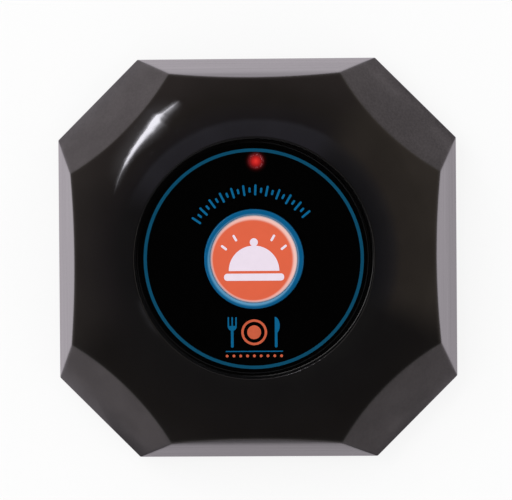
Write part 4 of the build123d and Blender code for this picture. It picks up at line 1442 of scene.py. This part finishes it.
@dataclass(frozen=True)
class Streak:
    """The lit part of the strip lamp's face: a long tail, a shoulder, a short point and a haze.

    Millimetres, with 0 in the middle of the face. Spans are places along it, and each line is a
    slope with its value at the middle.
    """

    length: float = 520.0
    width: float = 264.0
    outer_edge: float = 22.0
    tail_start: float = -20.0
    tail_bend: float = 0.0005
    dent_span: Point = (45.0, 75.0)
    dent_depth: float = 3.0
    notch_lines: Tuple[Point, Point] = ((-0.9, 135.5), (-0.26, 45.0))
    body_lines: Tuple[Point, Point] = ((0.13, 22.3), (0.03, 8.7))
    point_lines: Tuple[Point, Point] = ((-0.8, 125.9), (-0.06, 16.2))
    tail_end: Point = (-262.0, -150.0)
    tail_dimming: Point = (-152.0, -104.0)
    point_end: Point = (240.0, 195.0)
    halo_reach: float = 20.0
    haze_level: float = 0.031
    haze_reach: float = 110.0

    def shade(self, kit: ShaderKit) -> None:
        """Fills the lamp's node tree."""
        first, second, _ = kit.split(kit.node("ShaderNodeNewGeometry", output="Parametric"))
        along, across = (first - 0.5) * self.length, (second - 0.5) * self.width
        outer = self._outer(kit, along)
        width = self._higher(along, self.body_lines).smaller(self._higher(along, self.point_lines))
        beyond, within = across - outer, outer - width - across
        lit = self._core(kit, along, beyond, within).larger(self._halo(kit, along, beyond, within))
        ends = kit.ramp(along, *self.tail_end) * (kit.ramp(along, *self.tail_dimming) * 0.65 + 0.35)
        strength = lit * ends * kit.ramp(along, *self.point_end) + self._haze(kit, along, beyond, within)
        kit.node("ShaderNodeOutputLight", None, {"Surface": kit.glow(WHITE, strength)})

    @staticmethod
    def _higher(along: Signal, lines: Tuple[Point, Point]) -> Signal:
        """The higher of two straight lines."""
        first, second = (along * slope + middle for slope, middle in lines)
        return first.larger(second)

    def _outer(self, kit: ShaderKit, along: Signal) -> Signal:
        """The outer edge: straight, bent along the tail, dented once and notched at the point."""
        tail = (self.tail_start - along).larger(0.0)
        dent = kit.band(along, *self.dent_span, 20.0) * self.dent_depth
        edge = self.outer_edge - tail * tail * self.tail_bend - dent
        return edge.smaller(self._higher(along, self.notch_lines))

    @staticmethod
    def _core(kit: ShaderKit, along: Signal, beyond: Signal, within: Signal) -> Signal:
        """The bright core, crisp outside and blurred inside, most of all at the shoulder and tail."""
        blur = kit.ramp(along, -40.0, 110.0) * 6.0 + kit.ramp(along, -190.0, -90.0) * 4.0 + 4.0
        blur = blur - kit.ramp(along, 140.0, 190.0) * 3.5
        return kit.ramp(beyond, 1.5, -1.5) * kit.ramp(within / blur, 1.0, -1.0)

    def _halo(self, kit: ShaderKit, along: Signal, beyond: Signal, within: Signal) -> Signal:
        """The faint halo round the core, stronger towards the point."""
        reach = kit.ramp(along, 40.0, 110.0) * 14.0 + self.halo_reach
        halo = kit.ramp(beyond, self.halo_reach, -4.0) * kit.ramp(within / reach, 1.0, -0.2)
        return halo * (kit.ramp(along, -80.0, 60.0) * 0.17 + 0.03)

    def _haze(self, kit: ShaderKit, along: Signal, beyond: Signal, within: Signal) -> Signal:
        """The haze that spreads far on both sides."""
        spread = kit.ramp(along, -75.0, 60.0) * 42.0 + 34.0
        inner, outer = kit.ramp(within / spread, 1.0, 0.0), kit.ramp(beyond, self.haze_reach, 0.0)
        haze = inner * inner * (outer * outer + kit.ramp(beyond, 15.0, 0.0)) * self.haze_level
        return haze * kit.ramp(along, -230.0, -90.0) * kit.ramp(along, 240.0, 130.0)


@dataclass
class Studio:
    """Camera, plain soft light and pale floor. The floor's spans are radii in millimetres."""

    distance: float = 0.8
    aim: Triple = (0.0, 0.0, 10 * MM)
    lean_right: float = 2.52
    lean_away: float = 0.92
    roll: float = -0.43
    sensor: float = 36.0
    frame_width: float = 512.0
    focal_pixels: float = 3763.0
    shift_pixels: Point = (-0.61, 7.99)
    plain_level: float = 0.74
    floor_radius: float = 1.6
    floor_gap: float = 0.02 * MM
    floor_fade: Point = (120.0, 420.0)
    foot_span: Point = (34.0, 43.0)
    near_span: Point = (58.0, 84.0)
    far_span: Point = (84.0, 170.0)
    soft_place: Triple = (-0.7, 0.6, 1.3)
    soft_size: float = 1.0
    soft_energy: float = 6.2
    strip_place: Triple = (-0.494, 0.4495, 0.6)
    strip_turn: float = 63.2
    strip_shift: Point = (14 * MM, 18 * MM)
    strip_level: float = 10.7
    strip_colour: Triple = (0.93, 0.92, 1.0)
    streak: Streak = Streak()

    def build(self) -> None:
        """Sets up the whole studio."""
        scene = bpy.context.scene
        scene.view_settings.view_transform = "Standard"
        self._camera(scene)
        self._world(scene)
        self._soft_lamp(scene)
        self._strip(scene)
        self._floor(scene)
        LOG.info("studio ready")

    def _camera(self, scene: bpy.types.Scene) -> None:
        """Long lens, almost straight above the object."""
        right, away = math.radians(self.lean_right), math.radians(self.lean_away)
        aim = Vector(self.aim)
        lean = Vector((math.sin(right), math.sin(away), math.cos(math.hypot(right, away))))
        place = lean * self.distance + aim
        back = (place - aim).normalized()
        side = Vector((0, 1, 0)).cross(back).normalized()
        upright = back.cross(side)
        lens = bpy.data.cameras.new("camera")
        lens.lens = self.focal_pixels / self.frame_width * self.sensor
        lens.sensor_width = self.sensor
        lens.shift_x = self.shift_pixels[0] / self.frame_width
        lens.shift_y = self.shift_pixels[1] / self.frame_width
        camera = bpy.data.objects.new("camera", lens)
        turn = Matrix((side, upright, back)).transposed() @ Matrix.Rotation(math.radians(self.roll), 3, "Z")
        camera.matrix_world = Matrix.Translation(place) @ turn.to_4x4()
        scene.collection.objects.link(camera)
        scene.camera = camera

    def _world(self, scene: bpy.types.Scene) -> None:
        """Plain light for the object, a white backdrop, and a room that glossy surfaces mirror."""
        world = bpy.data.worlds.new("studio")
        scene.world = world
        world.use_nodes = True
        world.cycles.sampling_method = "NONE"
        kit = ShaderKit(world.node_tree)
        backdrop = kit.mix(kit.ray("Camera") + kit.ray("Transmission"), grey(self.plain_level), WHITE)
        colour = kit.mix(kit.ray("Glossy"), backdrop, self._room(kit))
        light = kit.node("ShaderNodeBackground", None, {"Color": colour, "Strength": 1.0})
        kit.node("ShaderNodeOutputWorld", None, {"Surface": light})

    @staticmethod
    def _room(kit: ShaderKit) -> Signal:
        """The mirrored room: walls that differ by compass angle, and a pale ring under a dark ceiling."""
        direction = kit.node("ShaderNodeTexCoord", output="Generated")
        rise = kit.towards(direction, 180.0).larger(0.0) * 0.03 + kit.split(direction)[2]
        seen: Feed = BLACK
        for wall in WALLS:
            side = kit.node("ShaderNodeValToRGB", {"stops": wall.stops}, {0: rise})
            share = kit.ramp(kit.towards(direction, wall.angle), wall.outside, wall.inside)
            seen = kit.mix(share, seen, side)
        patch = kit.ramp(kit.towards(direction, 208.0), 0.984, 0.998) * kit.band(rise, 0.794, 0.812, 0.008)
        seen = kit.mix(patch * 0.5, seen, Colour(150, 148, 156))
        paler = kit.towards(direction, 225.0).larger(0.0) * 0.18
        return kit.scaled(seen, kit.noise(direction, 5.0, 3.0) * 0.5 + 0.75 + paler)

    @staticmethod
    def _lamp(scene: bpy.types.Scene, name: str, shape: str, place: Vector, turn: Matrix) -> bpy.types.Object:
        """An area lamp of a shape that shines along its turn's -Z and that the camera doesn't see."""
        lamp = bpy.data.lights.new(name, "AREA")
        lamp.shape = shape
        item = bpy.data.objects.new(name, lamp)
        item.matrix_world = Matrix.Translation(place) @ turn.to_4x4()
        item.visible_camera = False
        scene.collection.objects.link(item)
        return item

    def _soft_lamp(self, scene: bpy.types.Scene) -> None:
        """Broad soft lamp that models the shapes."""
        place = Vector(self.soft_place)
        item = self._lamp(scene, "soft_lamp", "DISK", place, place.to_track_quat("Z", "Y").to_matrix())
        item.data.size = self.soft_size
        item.data.energy = self.soft_energy
        item.visible_glossy = False

    def _strip(self, scene: bpy.types.Scene) -> None:
        """Long narrow lamp at the back left."""
        middle = Vector(self.strip_place)
        back = middle.normalized()
        turn = math.radians(self.strip_turn)
        along = Vector((math.cos(turn), math.sin(turn), 0))
        along = (along - along.dot(back) * back).normalized()
        across = back.cross(along)
        place = middle + along * self.strip_shift[0] + across * self.strip_shift[1]
        axes = Matrix((along, across, back)).transposed()
        lamp = self._lamp(scene, "strip_lamp", "RECTANGLE", place, axes).data
        lamp.size = self.streak.length * MM
        lamp.size_y = self.streak.width * MM
        lamp.energy = self.strip_level * math.pi * lamp.size * lamp.size_y
        lamp.color = self.strip_colour
        lamp.use_nodes = True
        self.streak.shade(ShaderKit(lamp.node_tree))

    def _floor(self, scene: bpy.types.Scene) -> None:
        """Pale table top that keeps a soft shadow."""
        mesh = bpy.data.meshes.new("table")
        shape = bmesh.new()
        bmesh.ops.create_circle(shape, cap_ends=True, segments=96, radius=self.floor_radius)
        bmesh.ops.translate(shape, vec=(0, 0, -self.floor_gap), verts=shape.verts)
        shape.to_mesh(mesh)
        shape.free()
        material = bpy.data.materials.new("pale_table")
        material.use_nodes = True
        self._shade_floor(ShaderKit(material.node_tree))
        mesh.materials.append(material)
        table = bpy.data.objects.new("table", mesh)
        scene.collection.objects.link(table)

    def _shade_floor(self, kit: ShaderKit) -> None:
        """Near white to the eye, a pool of light that fades outwards in reflections, and clear from below."""
        place = kit.place()
        out = kit.distance(place)
        paint = kit.mix(kit.noise(place, 0.4, 4.0), WHITE.times(0.975), WHITE.times(0.99))
        lit = kit.node("ShaderNodeBsdfDiffuse", None, {"Color": paint})
        seen = kit.blend(kit.ramp(out, *self.floor_fade) * 0.15 + 0.85, lit, kit.glow(WHITE))
        near = kit.mix(kit.ramp(out, *self.near_span), Colour(255, 246, 255), Colour(220, 209, 213))
        pool = kit.mix(kit.ramp(out, *self.far_span), near, Colour(198, 187, 188))
        mirrored = kit.glow(kit.scaled(pool, self._pool_level(kit, place, out)), 1.155)
        above = kit.blend(kit.ray("Glossy"), seen, mirrored)
        below = kit.node("ShaderNodeNewGeometry", output="Backfacing")
        surface = kit.blend(below, above, kit.node("ShaderNodeBsdfTransparent"))
        kit.node("ShaderNodeOutputMaterial", None, {"Surface": surface})

    def _pool_level(self, kit: ShaderKit, place: Signal, out: Signal) -> Signal:
        """How bright the mirrored table is: dimmer towards the user, and near the case's foot."""
        x, y, _ = kit.split(place)
        back, front, right = (kit.ramp(kit.towards(place, angle), 0.5, 0.8) for angle in (90.0, 270.0, 0.0))
        around = kit.towards(place, 90.0) * 0.03 + back * (0.16 - kit.ramp(y, 50.5, 51.5) * 0.3)
        around = around + right * kit.ramp(x, 49.2, 50.4) * 0.1
        around = around - front * (0.2 + kit.ramp(y, -49.7, -50.9) * 0.46)
        close = around * kit.ramp(out, *self.foot_span) + 0.8
        slant = kit.towards(place, 135.0)
        broad = kit.towards(place, 109.0) * 0.195 + slant * slant * 0.055 + 0.69
        return close + (broad - close) * kit.ramp(out, *self.near_span)


def main() -> None:
    """Builds every sub-assembly and the studio."""
    logging.basicConfig(level=logging.INFO, format="%(message)s")
    parts = [Housing(), Fascia(), CallKey(), Indicator(), CircuitBoard(), TactSwitch(), BatteryBay()]
    for part in parts:
        part.build()
    Studio().build()


if __name__ == "__main__":
    main()
